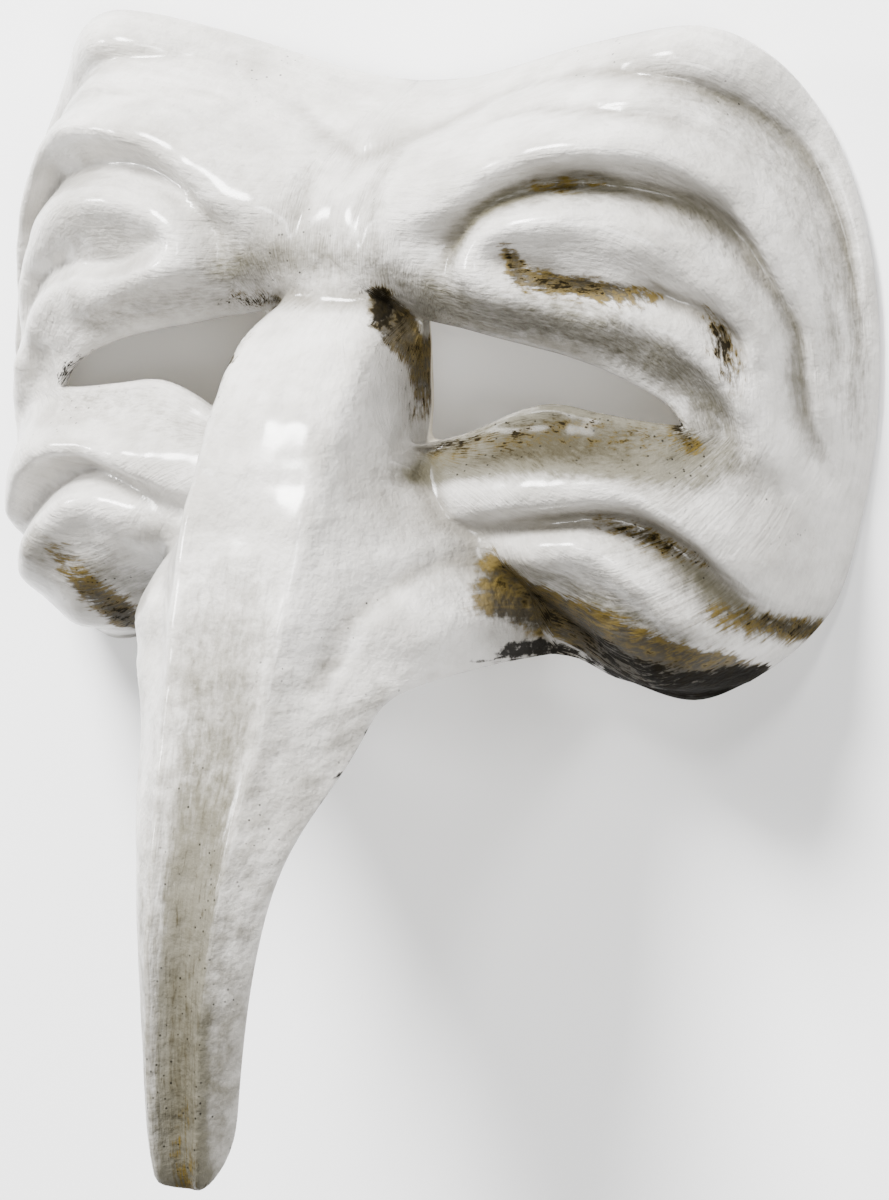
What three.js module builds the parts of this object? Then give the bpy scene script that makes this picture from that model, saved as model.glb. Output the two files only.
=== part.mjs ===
import * as THREE from "three";

// Long-nosed half mask. Lengths are in millimetres. The mask lies on its back rim with the face up:
// x runs to the wearer's left, y to the forehead and z out of the face.
// The curves below are drawn from the root of the nose, and the last step moves them to the part's frame.
const WALL = 3;
const BROW_TOP = 48.9;
const TIP = -142.4;
const RIM_LEVEL = -0.5;
const CROWN = 46;
const FRAME_SHIFT = new THREE.Vector3(0, -(TIP + BROW_TOP) / 2, -RIM_LEVEL);

// The wearer's right cheek sits a little higher than the left one.
const CHEEK_LIFT = 2.2;
const LIFT_OUTWARD = { from: 28, over: 20 };
const LIFT_DOWN = { from: 18, over: 16 };

// How softly the nose joins the face.
const JOIN = 3;

// How much narrower the nose's back is inside than outside, on either side.
const INNER_BACK = 2.4;

// How finely the shell is divided: across the face, over the nose, and along each stretch of outline.
const ACROSS_FACE = 16;
const NOSE_BACK = 3;
const NOSE_FLANK = 5;
const FLANK_STEPS = [0, 0.2, 0.45, 0.7, 0.87, 1];
const COUNT = {
  middle: 4, besideEye: 6, besideWing: 7, cheek: 9, lowSide: 7, highSide: 10, top: 9, underWing: 5, beak: 10,
};

// Where the stretches of the rim and the lids meet: the row of the brow's corner, the height of the
// temple, and how far out on the lids the top, the outer side, the low side and the cheek begin.
const BROW_CORNER = 7;
const TEMPLE = -24;
const LID_SPLITS = { top: 23, side: 47, cheek: 53, wing: 40 };

// How many points of the beak's edge lie under the wing, and of the nose's side beside the eye.
const WING_POINTS = 6;
const BESIDE_EYE_POINTS = 5;

// The rim of one half: x, y, height above the nose root's back plane, and how far in the edge rolls over.
const TOP_RIM = [
  [0, 37.3, 3, 9], [10, 38.2, 4, 9], [20, 40.8, 6, 9], [30, 43.9, 8, 9], [40, 46.4, 9.5, 10],
  [50, 48.5, 11, 10], [57, 48.9, 11, 11], [63, 47, 9, 13], [68.4, 42.8, 6, 15], [72.4, 37, 2, 16],
];
const SIDE_RIM = [
  [72.4, 37, 2, 16], [76.8, 29.2, RIM_LEVEL, 17], [80.5, 20.4, RIM_LEVEL, 18],
  [83.2, 10, RIM_LEVEL, 18], [84.6, 0, RIM_LEVEL, 19], [85, -9, RIM_LEVEL, 20],
  [84.8, -19, RIM_LEVEL, 21], [83.6, -29, RIM_LEVEL, 18], [81.8, -39, RIM_LEVEL, 12],
  [79.8, -47.4, RIM_LEVEL, 9], [77.2, -54.2, 1, 9],
];
const CHEEK_RIM = [
  [77.2, -54.2, 1, 9], [73.2, -60, 6, 9], [66.5, -65.3, 13, 9], [58.8, -69, 16, 9],
  [51.8, -68.4, 17, 9], [44.7, -64.8, 20, 9], [39, -61.4, 23, 9], [34.5, -59.2, 27, 9],
];
const UNDER_NOSE = [[34.5, -59.2, 27, 9], [22, -62, 34, 9], [0, -65, 36, 9]];

// The eye hole: its upper lid from the inner to the outer corner, and its lower lid back again.
const UPPER_LID = [
  [14.9, -1.6], [24, -3.4], [33, -5.4], [40, -6.9], [47, -9], [53.5, -12], [57.6, -15], [60, -18.4],
];
const LOWER_LID = [
  [60, -18.4], [54, -17.6], [46, -16.3], [38, -15.2], [31, -17], [24, -20.4], [16.2, -22.8],
];

// Where the nose leaves the face, from its root to the corner of the wing, and the beak's own edge.
const NOSE_SIDE = [
  [12.2, -0.8], [12.7, -5.5], [13.4, -12], [14.4, -18], [16, -24], [21.5, -30.6], [27.5, -35.5],
  [32.6, -41], [35.2, -47.5], [35.6, -53.6], [36.6, -60.2],
];
const BEAK_EDGE = [
  [36.6, -60.2], [34.5, -59.2], [29.8, -59.2], [26, -60.2], [23.6, -62.2], [22, -65.6], [20.6, -70.2],
  [18.2, -76], [15.6, -82], [13.3, -89.5], [12.2, -95.5], [11.3, -102], [10.5, -109], [9.7, -117.5],
  [9, -126], [8.7, -133], [7.2, -139.4],
];
const ROOT_TOP = 9.5;
const WING_ROW = -50;
const BEAK_TOP = -72;

// The nose against y: the height of its back, the half width of its back, the steepness of its
// flanks, how much they round over, and the radius of the shoulder between.
const NOSE_HEIGHT = [
  [40, -120], [6, 28], [4, 35], [2.5, 40.5], [1, 45], [-0.5, 49], [-2, 52], [-5, 56.4], [-12, 64],
  [-21, 70.6], [-33, 76.2], [-44.7, 80.6], [-60, 86], [-70, 89.4], [-78, 92.4], [-85, 95.3],
  [-93, 98.2], [-101, 100.1], [-109, 101.2], [-118, 101.9], [-126, 102.2], [-134, 101.8], [-139, 101],
  [-142.4, 99.8],
];
const NOSE_HALF = [
  [6, 9.4], [2, 11.2], [-2, 12.4], [-12, 13.2], [-28, 12.2], [-44, 11], [-60, 9.8], [-78, 7.8],
  [-93, 6.3], [-109, 5.3], [-126, 4.6], [-142, 3.8],
];
const NOSE_STEEP = [
  [6, 4], [2, 5], [-2, 8], [-12, 9], [-20, 7.5], [-26, 5], [-32, 3], [-40, 2], [-50, 1.65], [-58, 1.5],
  [-62, 1.3], [-70, 0.95], [-78, 0.6], [-85, 0.5],
];
const NOSE_ROLL = [
  [-50, 0], [-62, 0.015], [-78, 0.05], [-93, 0.1], [-109, 0.16], [-126, 0.22], [-141, 0.3],
];
const NOSE_SHOULDER = [[6, 2.5], [-20, 2.8], [-60, 2.5], [-80, 1.2], [-141, 1]];

// Outside the wings the flank falls at this slope; past BEAK_FROM the nose is a beak with a shallow
// trough along its back and a small raised edge on either side of it, as shares of the back's half width.
const WING_SIDE = { from: 31, slope: 2.2, blend: 3 };
const BEAK_FROM = { y: -75, over: 10 };
const TROUGH = { deep: 1.1, half: 0.6 };
const BACK_EDGE = { high: 0.5, kept: 0.4, at: 0.95, wide: 1.6 };

// Under the cheeks the face ends at this line, and folds fade out this many rolls from the rim.
const FACE_END = { y: -64, slope: 3 };
const FOLD_FADE = 0.12;

// Each fold runs along a path with a height (below zero for a groove) and a half width on either side.
const EYE_HOLLOW = {
  path: [[14, -11], [38, -12], [60, -18]],
  rise: [-9, -7.5, -3],
  left: [14, 11, 8],
  right: [14, 11, 8],
  edge: 4,
};
const FOLDS = [
  {
    name: "forehead groove",
    path: [
      [0, 24.5], [7, 27.5], [14, 31], [22, 36], [33, 39], [45, 40], [54, 39.5], [62, 36], [69, 30],
      [74, 23], [78, 14], [80.5, 4], [82, -6],
    ],
    rise: [-3, -3, -3.2, -4.2, -5, -5.5, -6, -6, -5, -3.5, -2, 0],
    left: [4, 3.4, 3.2, 3, 2.4],
    right: [3.4, 3.2, 3.2, 2.8, 2.2],
  },
  {
    name: "brow groove",
    path: [
      [16, 25], [20, 30], [27, 33], [38, 34.3], [48, 34], [55, 33], [61, 30.5], [67, 26], [72, 20],
      [75.3, 14], [78, 6], [79.3, -3], [80.5, -12], [81, -20],
    ],
    rise: [0, -1, -2, -2.3, -2.4, -2.4, -2.4, -2, -1.2, 0],
    left: [2, 2, 1.8],
    right: [2, 2, 1.8],
  },
  {
    name: "brow ridge",
    path: [
      [9, 14], [14, 17], [23, 20.6], [31, 25.3], [41, 28.6], [51, 29.2], [60, 27], [67, 21.6],
      [71.5, 14], [75, 6], [78, -1], [79, -10], [80.5, -20], [80.5, -28],
    ],
    rise: [2.2, 3.4, 4.2, 4.5, 4.5, 4.5, 4.2, 4, 3.5, 3, 2, 0],
    left: [6, 5.5, 5, 4, 3.4, 3],
    right: [6, 4, 3.2, 3, 2.6, 2.4],
  },
  {
    name: "deep groove over the eye",
    path: [
      [21.5, 4], [22, 11], [25, 14.6], [29, 18.5], [36, 21.5], [44, 22.5], [54, 20.7], [61, 18.2],
      [66, 13.8], [70, 8], [73, 2], [75, -4], [75.3, -11], [76, -18], [78, -25], [80, -31],
    ],
    rise: [0, -2.5, -4, -4.5, -4.5, -4.5, -4.2, -4, -4, -3.5, -3, -3, -2, 0],
    left: [2.8, 2.6, 2.6, 2.4],
    right: [3.2, 3.2, 3, 2.4],
  },
  {
    name: "lid fold, turning back on itself",
    path: [
      [52, 0.6], [44, 1.4], [36, 3.4], [30, 6.4], [28, 10.6], [30, 14.6], [35, 17], [42, 18],
      [50, 17.8], [57.5, 15.4], [63.5, 11], [68, 5.4], [71, 0], [72, -6], [73, -13], [75, -21],
      [78, -29],
    ],
    rise: [1, 2.2, 3.6, 4.4, 5, 5, 4.8, 4.6, 4.4, 4.2, 3.8, 3.2, 2.6, 2, 0],
    left: [4.4, 5, 4.8, 3.6, 3.4, 3.4, 3.4],
    right: [3.4, 3.4, 4.6, 6, 6, 4.6, 3],
  },
  {
    name: "groove inside the lid fold",
    path: [
      [35, 9.6], [38.5, 7.4], [43, 5.6], [49, 5], [55, 4.6], [60, 3.2], [65, 0], [68, -5], [69.5, -10],
      [71, -15],
    ],
    rise: [0, -1.6, -2.2, -2.2, -2, -2, -2.6, -3, -2, 0],
    left: [2.2],
    right: [2.2],
  },
  {
    name: "upper lid and outer eye ridge",
    path: [
      [48, 1.6], [53, 1.2], [60, -1.4], [65, -5.5], [68.3, -11], [71.5, -18], [75, -27], [77.5, -35],
      [79.5, -42],
    ],
    rise: [0, 1.2, 2.4, 3, 3, 2.6, 2.2, 1.6, 0],
    left: [2.4],
    right: [3.6, 3.2, 2.6],
  },
  {
    name: "cheek ridge",
    path: [
      [17, -34], [26, -32], [38, -30], [52, -29], [60, -31], [66, -35.4], [71, -41.6], [74.5, -47],
      [77, -51],
    ],
    rise: [0, 2, 3.4, 4.2, 4.6, 5.4, 5.8, 4.4, 1],
    left: [5, 6, 6.4, 5],
    right: [3.2, 3.2, 3.2, 3],
  },
  {
    name: "cheek groove",
    path: [
      [21, -38], [28, -37], [36, -35.4], [44, -34.2], [49, -34], [54, -35.6], [59, -39], [63.5, -43.6],
      [67.5, -48.6], [71, -52.6], [75, -54],
    ],
    rise: [-0.6, -1, -2, -3, -3.8, -4.2, -4.4, -4.4, -4, -2],
    left: [2.4, 2.6, 3],
    right: [2.2, 2.4, 2.8],
  },
  {
    name: "lower cheek ridge",
    path: [
      [26, -39.6], [33, -39], [41, -38], [48, -37.4], [54.4, -39], [60, -43], [64.6, -48.6],
      [69, -54.6], [73, -58.4],
    ],
    rise: [0, 2, 3.4, 4.4, 5, 5.8, 6.2, 5, 2],
    left: [3],
    right: [5.6, 6, 5],
  },
  {
    name: "hollow under the cheek",
    path: [[33, -42], [35.5, -48], [41, -54], [50, -59]],
    rise: [-1, -4, -4.5, -2],
    left: [4],
    right: [4.5],
  },
  {
    name: "frown line",
    path: [[6, 12], [5.6, 18], [7, 23.5]],
    rise: [-0.6, -1.4, -0.4],
    left: [1.8],
    right: [1.8],
  },
];
const WING_BULGE = { path: [[25, -46], [28, -51], [27, -57]], rise: [7, 9.5, 6], left: [6.5], right: [7] };
const WING_CREASE = {
  path: [[34.5, -44], [30, -41.5], [24, -41.5], [19, -46], [15.5, -54], [13.5, -63]],
  rise: [-2, -2.5, -2.2, -1.6, -1, 0],
  left: [2.6],
  right: [2.6],
};

// A smooth curve through points, and n + 1 points spaced evenly along it.
function curveThrough(points) {
  const at = points.map(([x, y, z = 0]) => new THREE.Vector3(x, y, z));
  return new THREE.CatmullRomCurve3(at, false, "catmullrom", 0.5);
}
const spaced = (points, n) => curveThrough(points).getSpacedPoints(n).map((p) => [p.x, p.y]);

// A list of [key, value] rows as a function that doesn't overshoot between the rows.
function steadyCurve(rows) {
  const list = [...rows].sort((a, b) => a[0] - b[0]);
  const last = list.length - 1;
  const slope = (i) => (list[i + 1][1] - list[i][1]) / (list[i + 1][0] - list[i][0]);
  const tangents = list.map((row, i) => {
    if (i === 0) return slope(0);
    if (i === last) return slope(last - 1);
    const [a, b] = [slope(i - 1), slope(i)];
    if (a * b <= 0) return 0;
    const before = row[0] - list[i - 1][0];
    const after = list[i + 1][0] - row[0];
    const [wa, wb] = [2 * after + before, after + 2 * before];
    return (wa + wb) / (wa / a + wb / b);
  });
  return (key) => {
    const t = Math.min(Math.max(key, list[0][0]), list[last][0]);
    let i = 0;
    while (i < last - 1 && t > list[i + 1][0]) i += 1;
    const span = list[i + 1][0] - list[i][0];
    const f = (t - list[i][0]) / span;
    const g = 1 - f;
    const ends = list[i][1] * (1 + 2 * f) * g * g + list[i + 1][1] * f * f * (3 - 2 * f);
    return ends + span * (tangents[i] * f * g * g - tangents[i + 1] * f * f * g);
  };
}
const noseHeight = steadyCurve(NOSE_HEIGHT);
const noseHalf = steadyCurve(NOSE_HALF);
const noseSteep = steadyCurve(NOSE_STEEP);
const noseRoll = steadyCurve(NOSE_ROLL);
const noseShoulder = steadyCurve(NOSE_SHOULDER);

// A value that runs evenly along a path, s from 0 to 1.
function along(values, s) {
  if (values.length === 1) return values[0];
  const t = s * (values.length - 1);
  const i = Math.min(Math.floor(t), values.length - 2);
  return values[i] + (values[i + 1] - values[i]) * (t - i);
}

const length2 = (a, b) => Math.sqrt(a * a + b * b);
const softMax = (a, b, blend) => (a + b + length2(a - b, blend)) / 2;
const softPlus = (t, blend) => (t + length2(t, blend)) / 2;

// A fold as a function of the point: a bell across its path. Its two half widths pass into each other
// over SIDE_BLEND.
const FOLD_STEPS = 40;
const SIDE_BLEND = 0.6;
function foldFrom({ path, rise, left, right, edge = 2 }) {
  const run = spaced(path, FOLD_STEPS);
  const steps = run.slice(1).map(([x, y], k) => {
    const [ex, ey] = [x - run[k][0], y - run[k][1]];
    return { x: run[k][0], y: run[k][1], ex, ey, square: ex * ex + ey * ey };
  });
  return (x, y) => {
    let nearest = Infinity;
    let s = 0;
    let side = 0;
    for (let k = 0; k < FOLD_STEPS; k += 1) {
      const step = steps[k];
      const dx = x - step.x;
      const dy = y - step.y;
      const t = Math.min(Math.max((dx * step.ex + dy * step.ey) / step.square, 0), 1);
      const [gx, gy] = [dx - t * step.ex, dy - t * step.ey];
      const square = gx * gx + gy * gy;
      if (square < nearest) {
        nearest = square;
        s = (k + t) / FOLD_STEPS;
        side = (step.ex * dy - step.ey * dx) / Math.sqrt(step.square);
      }
    }
    const toLeft = 1 / (1 + Math.exp(-side / SIDE_BLEND));
    const width = along(left, s) * toLeft + along(right, s) * (1 - toLeft);
    return along(rise, s) * Math.exp(-((Math.sqrt(nearest) / width) ** edge));
  };
}
const folds = [...FOLDS, EYE_HOLLOW].map(foldFrom);
const wingBulge = foldFrom(WING_BULGE);
const wingCrease = foldFrom(WING_CREASE);

// The closed rim of the whole face as many short steps: x, y, height, roll, length. The small square
// TOUCHING keeps a point on the rim itself from dividing by nothing.
const RIM_STEPS = 360;
const TOUCHING = 0.003;
const rimSteps = (() => {
  const corners = [...TOP_RIM, ...SIDE_RIM.slice(1), ...CHEEK_RIM.slice(1), ...UNDER_NOSE.slice(1)];
  const flat = curveThrough(corners.map(([x, y]) => [x, y]));
  const level = curveThrough(corners.map(([, , z, roll]) => [z, roll]));
  const half = [];
  for (let k = 0; k <= RIM_STEPS; k += 1) {
    const t = flat.getUtoTmapping(k / RIM_STEPS);
    const p = flat.getPoint(t);
    const q = level.getPoint(t);
    half.push({ x: p.x, y: p.y, z: Math.max(q.x, RIM_LEVEL), roll: q.y });
  }
  const other = half.slice(1, -1).reverse().map((p) => ({ ...p, x: -p.x }));
  const loop = [...half, ...other];
  return loop.map((p, k) => {
    const next = loop[(k + 1) % loop.length];
    const length = length2(next.x - p.x, next.y - p.y);
    return { ...p, nextX: next.x, nextY: next.y, share: length / p.roll, scale: 1 / p.roll ** 2 };
  });
})();

// How far a point lies inside the rim, in rolls, and the height of the rim near it.
function nearRim(x, y) {
  let weight = 0;
  let height = 0;
  let within = false;
  for (let k = 0; k < rimSteps.length; k += 1) {
    const p = rimSteps[k];
    const dx = x - p.x;
    const dy = y - p.y;
    const far = (dx * dx + dy * dy + TOUCHING) * p.scale;
    const share = p.share / (far * far);
    weight += share;
    height += share * p.z;
    const crossing = p.y > y !== p.nextY > y;
    if (crossing && x < ((p.nextX - p.x) * (y - p.y)) / (p.nextY - p.y) + p.x) within = !within;
  }
  const depth = Math.cbrt(Math.PI / 2 / weight);
  return { depth: within ? depth : Math.max(-depth, -1), height: height / weight };
}

// The nose: a flat back between two shoulders, flanks that spread into the wings, and the beak.
function noseAt(x, y) {
  const half = noseHalf(y);
  const blend = noseShoulder(y);
  const down = softPlus(x - half, blend);
  const drop = noseSteep(y) * (down - softPlus(-half, blend)) + noseRoll(y) * down ** 2;
  const outside = WING_SIDE.slope * softPlus(x - WING_SIDE.from, WING_SIDE.blend);
  const beak = 1 / (1 + Math.exp((y - BEAK_FROM.y) / BEAK_FROM.over));
  const trough = TROUGH.deep * beak * Math.exp(-((x / (TROUGH.half * half)) ** 2));
  const fromEdge = (x - BACK_EDGE.at * half) / BACK_EDGE.wide;
  const edge = BACK_EDGE.high * (BACK_EDGE.kept + beak) * Math.exp(-(fromEdge ** 2));
  return noseHeight(y) - drop - outside - trough + edge + wingBulge(x, y) + wingCrease(x, y);
}

// The height of the mask's outside at a point.
function outsideAt(signed, y) {
  const x = Math.abs(signed);
  const rim = nearRim(x, y);
  const dome = rim.height + (CROWN - rim.height) * (1 - Math.exp(-rim.depth));
  const kept = 1 - Math.exp(-((rim.depth / FOLD_FADE) ** 2));
  const carved = folds.reduce((sum, fold) => sum + fold(x, y), 0);
  const below = Math.max(FACE_END.y - y, 0) * FACE_END.slope;
  return softMax(dome + kept * carved - below, noseAt(x, y), JOIN);
}

// The height of its inside: the lowest of the balls of one wall's radius that touch the outside.
const BALL = [[0, 0]];
const BALL_RINGS = [0.5, 0.86, 1];
const BALL_SPOKES = 12;
BALL_RINGS.forEach((radius) => {
  for (let k = 0; k < BALL_SPOKES; k += 1) {
    const angle = (k * 2 * Math.PI) / BALL_SPOKES;
    BALL.push([radius * Math.cos(angle), radius * Math.sin(angle)]);
  }
});
function insideAt(x, y) {
  return Math.min(...BALL.map(([dx, dy]) => {
    const sag = Math.sqrt(Math.max(1 - dx * dx - dy * dy, 0));
    return outsideAt(x + WALL * dx, y + WALL * dy) - WALL * sag;
  }));
}

// A stretch of a curve between two places on it, given by the value of one coordinate.
const STRETCH_STEPS = 400;
function stretch(points, axis, from, to, n) {
  const fine = spaced(points, STRETCH_STEPS);
  const nearest = (v) => {
    const off = fine.map((p) => Math.abs(p[axis] - v));
    return off.indexOf(Math.min(...off));
  };
  const [a, b] = [nearest(from), nearest(to)];
  return Array.from({ length: n + 1 }, (_, k) => {
    const t = a + ((b - a) * k) / n;
    const i = Math.min(Math.floor(t), fine.length - 2);
    return fine[i].map((v, c) => v + (fine[i + 1][c] - v) * (t - i));
  });
}
const straight = ([ax, ay], [bx, by], n) =>
  Array.from({ length: n + 1 }, (_, k) => [ax + ((bx - ax) * k) / n, ay + ((by - ay) * k) / n]);

// The outline of one half, from the middle of the forehead round to the tip of the beak.
const wholeRim = [...TOP_RIM, ...SIDE_RIM.slice(1), ...CHEEK_RIM.slice(1)];
const sideRim = wholeRim.slice(BROW_CORNER);
const topRim = stretch(TOP_RIM, 0, sideRim[0][0], 0, COUNT.top);
const highSide = stretch(sideRim, 1, TEMPLE, sideRim[0][1], COUNT.highSide);
const lowSide = stretch(sideRim, 1, CHEEK_RIM[0][1], TEMPLE, COUNT.lowSide);
const lowRim = stretch(CHEEK_RIM, 0, BEAK_EDGE[0][0], CHEEK_RIM[0][0], COUNT.cheek);
const inTwo = (points, first, n, m) => [
  ...spaced(points.slice(0, first), n), ...spaced(points.slice(first - 1), m).slice(1),
];
const beakEdge = inTwo(BEAK_EDGE, WING_POINTS, COUNT.underWing, COUNT.beak);
const noseSide = inTwo(NOSE_SIDE, BESIDE_EYE_POINTS, COUNT.besideEye, COUNT.besideWing);

// The same outline moved in by the wall, where the inside of the shell begins.
function movedIn(list, before, after, by) {
  return list.map(([x, y], k) => {
    const a = list[k - 1] ?? before;
    const b = list[k + 1] ?? after;
    const size = length2(b[0] - a[0], b[1] - a[1]);
    return [x + (by * (a[1] - b[1])) / size, y + (by * (b[0] - a[0])) / size];
  });
}

// The nose as rows of points from its root to its tip, for x from 0 outwards. The back takes at most
// BACK_SHARE of a row.
const BACK_SHARE = 0.8;
const rowsAbove = COUNT.besideEye + COUNT.besideWing;
function noseRows(ends, narrower, tip) {
  const last = ends.length - 1;
  const rowMiddle = steadyCurve([
    [0, ROOT_TOP], [rowsAbove, WING_ROW], [last - COUNT.beak, BEAK_TOP], [last, tip],
  ]);
  return ends.map((end, k) => {
    const middle = rowMiddle(k);
    const back = Math.min(noseHalf(middle) - narrower, end[0] * BACK_SHARE);
    const row = Array.from({ length: NOSE_BACK }, (_, i) => (back * i) / NOSE_BACK);
    FLANK_STEPS.forEach((step) => row.push(back + (end[0] - back) * step));
    const bend = 1 + Math.min(k / rowsAbove, 1);
    return row.map((x) => [x, middle + (end[1] - middle) * (x / end[0]) ** bend]);
  });
}

// One skin's points: the rows around the eye hole of one half, and the rows of the nose.
const acrossLid = COUNT.middle + NOSE_BACK + NOSE_FLANK;
const [innerTop, innerLow, outerEnd] = [UPPER_LID[0], LOWER_LID[LOWER_LID.length - 1], LOWER_LID[0]];
const eyeLoop = [
  stretch(UPPER_LID, 0, LID_SPLITS.top, innerTop[0], acrossLid),
  straight(innerTop, innerLow, COUNT.besideEye),
  stretch(LOWER_LID, 0, innerLow[0], LID_SPLITS.wing, COUNT.besideWing),
  stretch(LOWER_LID, 0, LID_SPLITS.wing, LID_SPLITS.cheek, COUNT.cheek),
  stretch(LOWER_LID, 0, LID_SPLITS.cheek, outerEnd[0], COUNT.lowSide),
  stretch(UPPER_LID, 0, outerEnd[0], LID_SPLITS.side, COUNT.highSide),
  stretch(UPPER_LID, 0, LID_SPLITS.side, LID_SPLITS.top, COUNT.top),
].flatMap((list) => list.slice(0, -1));
function skinFrom(rim, beak, narrower, tip) {
  const nose = noseRows([...noseSide.slice(0, -1), ...beak], narrower, tip);
  const middle = straight(rim[rim.length - 1], nose[0][0], COUNT.middle);
  const outer = [middle, nose[0], noseSide, rim].flatMap((list) => list.slice(0, -1));
  const face = Array.from({ length: ACROSS_FACE + 1 }, (_, j) => outer.map(([x, y], i) => {
    const t = j / ACROSS_FACE;
    return [eyeLoop[i][0] * (1 - t) + x * t, eyeLoop[i][1] * (1 - t) + y * t];
  }));
  return { nose, face };
}
const rim = [...lowRim, ...lowSide.slice(1), ...highSide.slice(1), ...topRim.slice(1)];
rim[rim.length - 1][0] = 0;
rim[0] = beakEdge[0];
const rimInside = movedIn(rim, beakEdge[1], [-rim[rim.length - 2][0], rim[rim.length - 2][1]], WALL);
const beakInside = movedIn([...beakEdge].reverse(), [0, TIP], rim[1], WALL).reverse();
const outer = skinFrom(rim, beakEdge, 0, TIP);
const inner = skinFrom(rimInside, beakInside, INNER_BACK, TIP + WALL);

// The shell: points shared by place, each with its outside and its inside.
const points = [];
const found = new Map();
function pointAt([x, y], [u, v], mirror) {
  const side = mirror ? -1 : 1;
  const key = `${(side * x).toFixed(3)},${y.toFixed(3)}`;
  if (!found.has(key)) {
    found.set(key, points.length);
    points.push({
      outside: new THREE.Vector3(side * x, y, outsideAt(x, y)),
      inside: new THREE.Vector3(side * u, v, insideAt(u, v)),
    });
  }
  return found.get(key);
}
const quads = [];
function addSheet(rows, insideRows, closed, mirror) {
  const index = rows.map((row, j) => row.map((place, i) => pointAt(place, insideRows[j][i], mirror)));
  for (let j = 0; j + 1 < rows.length; j += 1) {
    const width = rows[j].length;
    for (let i = 0; i < (closed ? width : width - 1); i += 1) {
      const n = (i + 1) % width;
      const quad = [index[j][i], index[j][n], index[j + 1][n], index[j + 1][i]];
      quads.push(mirror ? quad : quad.reverse());
    }
  }
  return index;
}
const wholeNose = ({ nose }) => nose.map((row) => {
  const other = row.slice(1).reverse().map(([x, y]) => [-x, y]);
  return [...other, ...row];
});
const faceIndex = [false, true].map((mirror) => addSheet(outer.face, inner.face, true, mirror));
addSheet(wholeNose(outer), wholeNose(inner), false, false);

// The rim rows sit at their own height, with an edge that is flat where the mask rests.
const rimStart = outer.face[0].length - (rim.length - 1);
faceIndex.forEach((index) => {
  const last = index[ACROSS_FACE];
  [...last.slice(rimStart + 1), last[0]].forEach((k) => {
    const { outside, inside } = points[k];
    const x = Math.abs(outside.x);
    outside.z = softMax(nearRim(x, outside.y).height, noseAt(x, outside.y), JOIN);
    inside.z = outside.z;
  });
});

// Both skins and the edge faces that join them around the rim and the eye holes.
const corners = [];
function addQuad(a, b, c, d) {
  const flip = a.distanceToSquared(c) > b.distanceToSquared(d);
  corners.push(...(flip ? [a, b, d, b, c, d] : [a, b, c, a, c, d]));
}
const used = new Map();
quads.forEach((quad) => {
  const [a, b, c, d] = quad.map((k) => points[k]);
  addQuad(a.outside, b.outside, c.outside, d.outside);
  addQuad(d.inside, c.inside, b.inside, a.inside);
  quad.forEach((k, i) => used.set(`${k},${quad[(i + 1) % 4]}`, [k, quad[(i + 1) % 4]]));
});
used.forEach(([k, n]) => {
  if (used.has(`${n},${k}`)) return;
  const [a, b] = [points[k], points[n]];
  addQuad(b.outside, a.outside, a.inside, b.inside);
});

// Every point with the right cheek lifted, in the part's frame.
function eased(far, { from, over }) {
  const t = Math.min(Math.max((far - from) / over, 0), 1);
  return t * t * (3 - 2 * t);
}
function placedAt(p) {
  const lift = CHEEK_LIFT * eased(-p.x, LIFT_OUTWARD) * eased(-p.y, LIFT_DOWN);
  return new THREE.Vector3(p.x, p.y + lift, p.z).add(FRAME_SHIFT);
}

const geometry = new THREE.BufferGeometry();
const placed = corners.map(placedAt);
const places = placed.flatMap((p) => [p.x, p.y, p.z]);
geometry.setAttribute("position", new THREE.Float32BufferAttribute(places, 3));
geometry.computeVertexNormals();

const paper = new THREE.MeshStandardMaterial({ color: 0xefeeea, roughness: 0.5, metalness: 0 });
paper.name = "painted_paper";
const shell = new THREE.Mesh(geometry, paper);
shell.name = "mask_shell";

const part = new THREE.Group();
part.name = "long_nosed_half_mask";
part.add(shell);

export default part;
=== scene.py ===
import bpy
import numpy as np
from mathutils import Matrix, Vector


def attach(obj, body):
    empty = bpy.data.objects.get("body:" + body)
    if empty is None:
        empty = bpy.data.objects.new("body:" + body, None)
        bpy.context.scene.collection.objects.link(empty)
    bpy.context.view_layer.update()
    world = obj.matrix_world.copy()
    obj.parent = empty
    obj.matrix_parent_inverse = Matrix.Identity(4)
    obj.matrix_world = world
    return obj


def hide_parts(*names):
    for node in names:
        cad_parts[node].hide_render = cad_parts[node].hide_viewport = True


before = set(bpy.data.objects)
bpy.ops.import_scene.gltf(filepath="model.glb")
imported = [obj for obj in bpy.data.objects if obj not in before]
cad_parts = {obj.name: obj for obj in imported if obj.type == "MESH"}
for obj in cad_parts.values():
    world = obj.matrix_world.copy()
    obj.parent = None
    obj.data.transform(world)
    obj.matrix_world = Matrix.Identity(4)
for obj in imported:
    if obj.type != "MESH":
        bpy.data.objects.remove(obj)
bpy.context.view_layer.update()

bl_info = {
    "name": "Long-nosed half mask",
    "version": (1, 0, 0),
    "blender": (4, 5, 0),
    "location": "View3D > Sidebar > Half mask",
    "description": "Builds a white papier mache half mask with a long nose, folds and a worn patina",
    "category": "Add Mesh",
}

# The wall, how far the brow's top edge and the beak's tip lie from the root of the nose, the level
# of the side rims, and the height that the face rounds up to.
WALL = 3.0
BROW_TOP = 48.9
TIP = -142.4
RIM_LEVEL = -0.5
CROWN = 46.0
FRAME_SHIFT = (0.0, -(TIP + BROW_TOP) / 2, -RIM_LEVEL)

# The wearer's right cheek sits a little higher than the left one: by how much, and where that
# begins, with the distance over which it grows, outwards and downwards.
CHEEK_LIFT = 2.2
LIFT_OUTWARD = (28.0, 20.0)
LIFT_DOWN = (18.0, 16.0)

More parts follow.
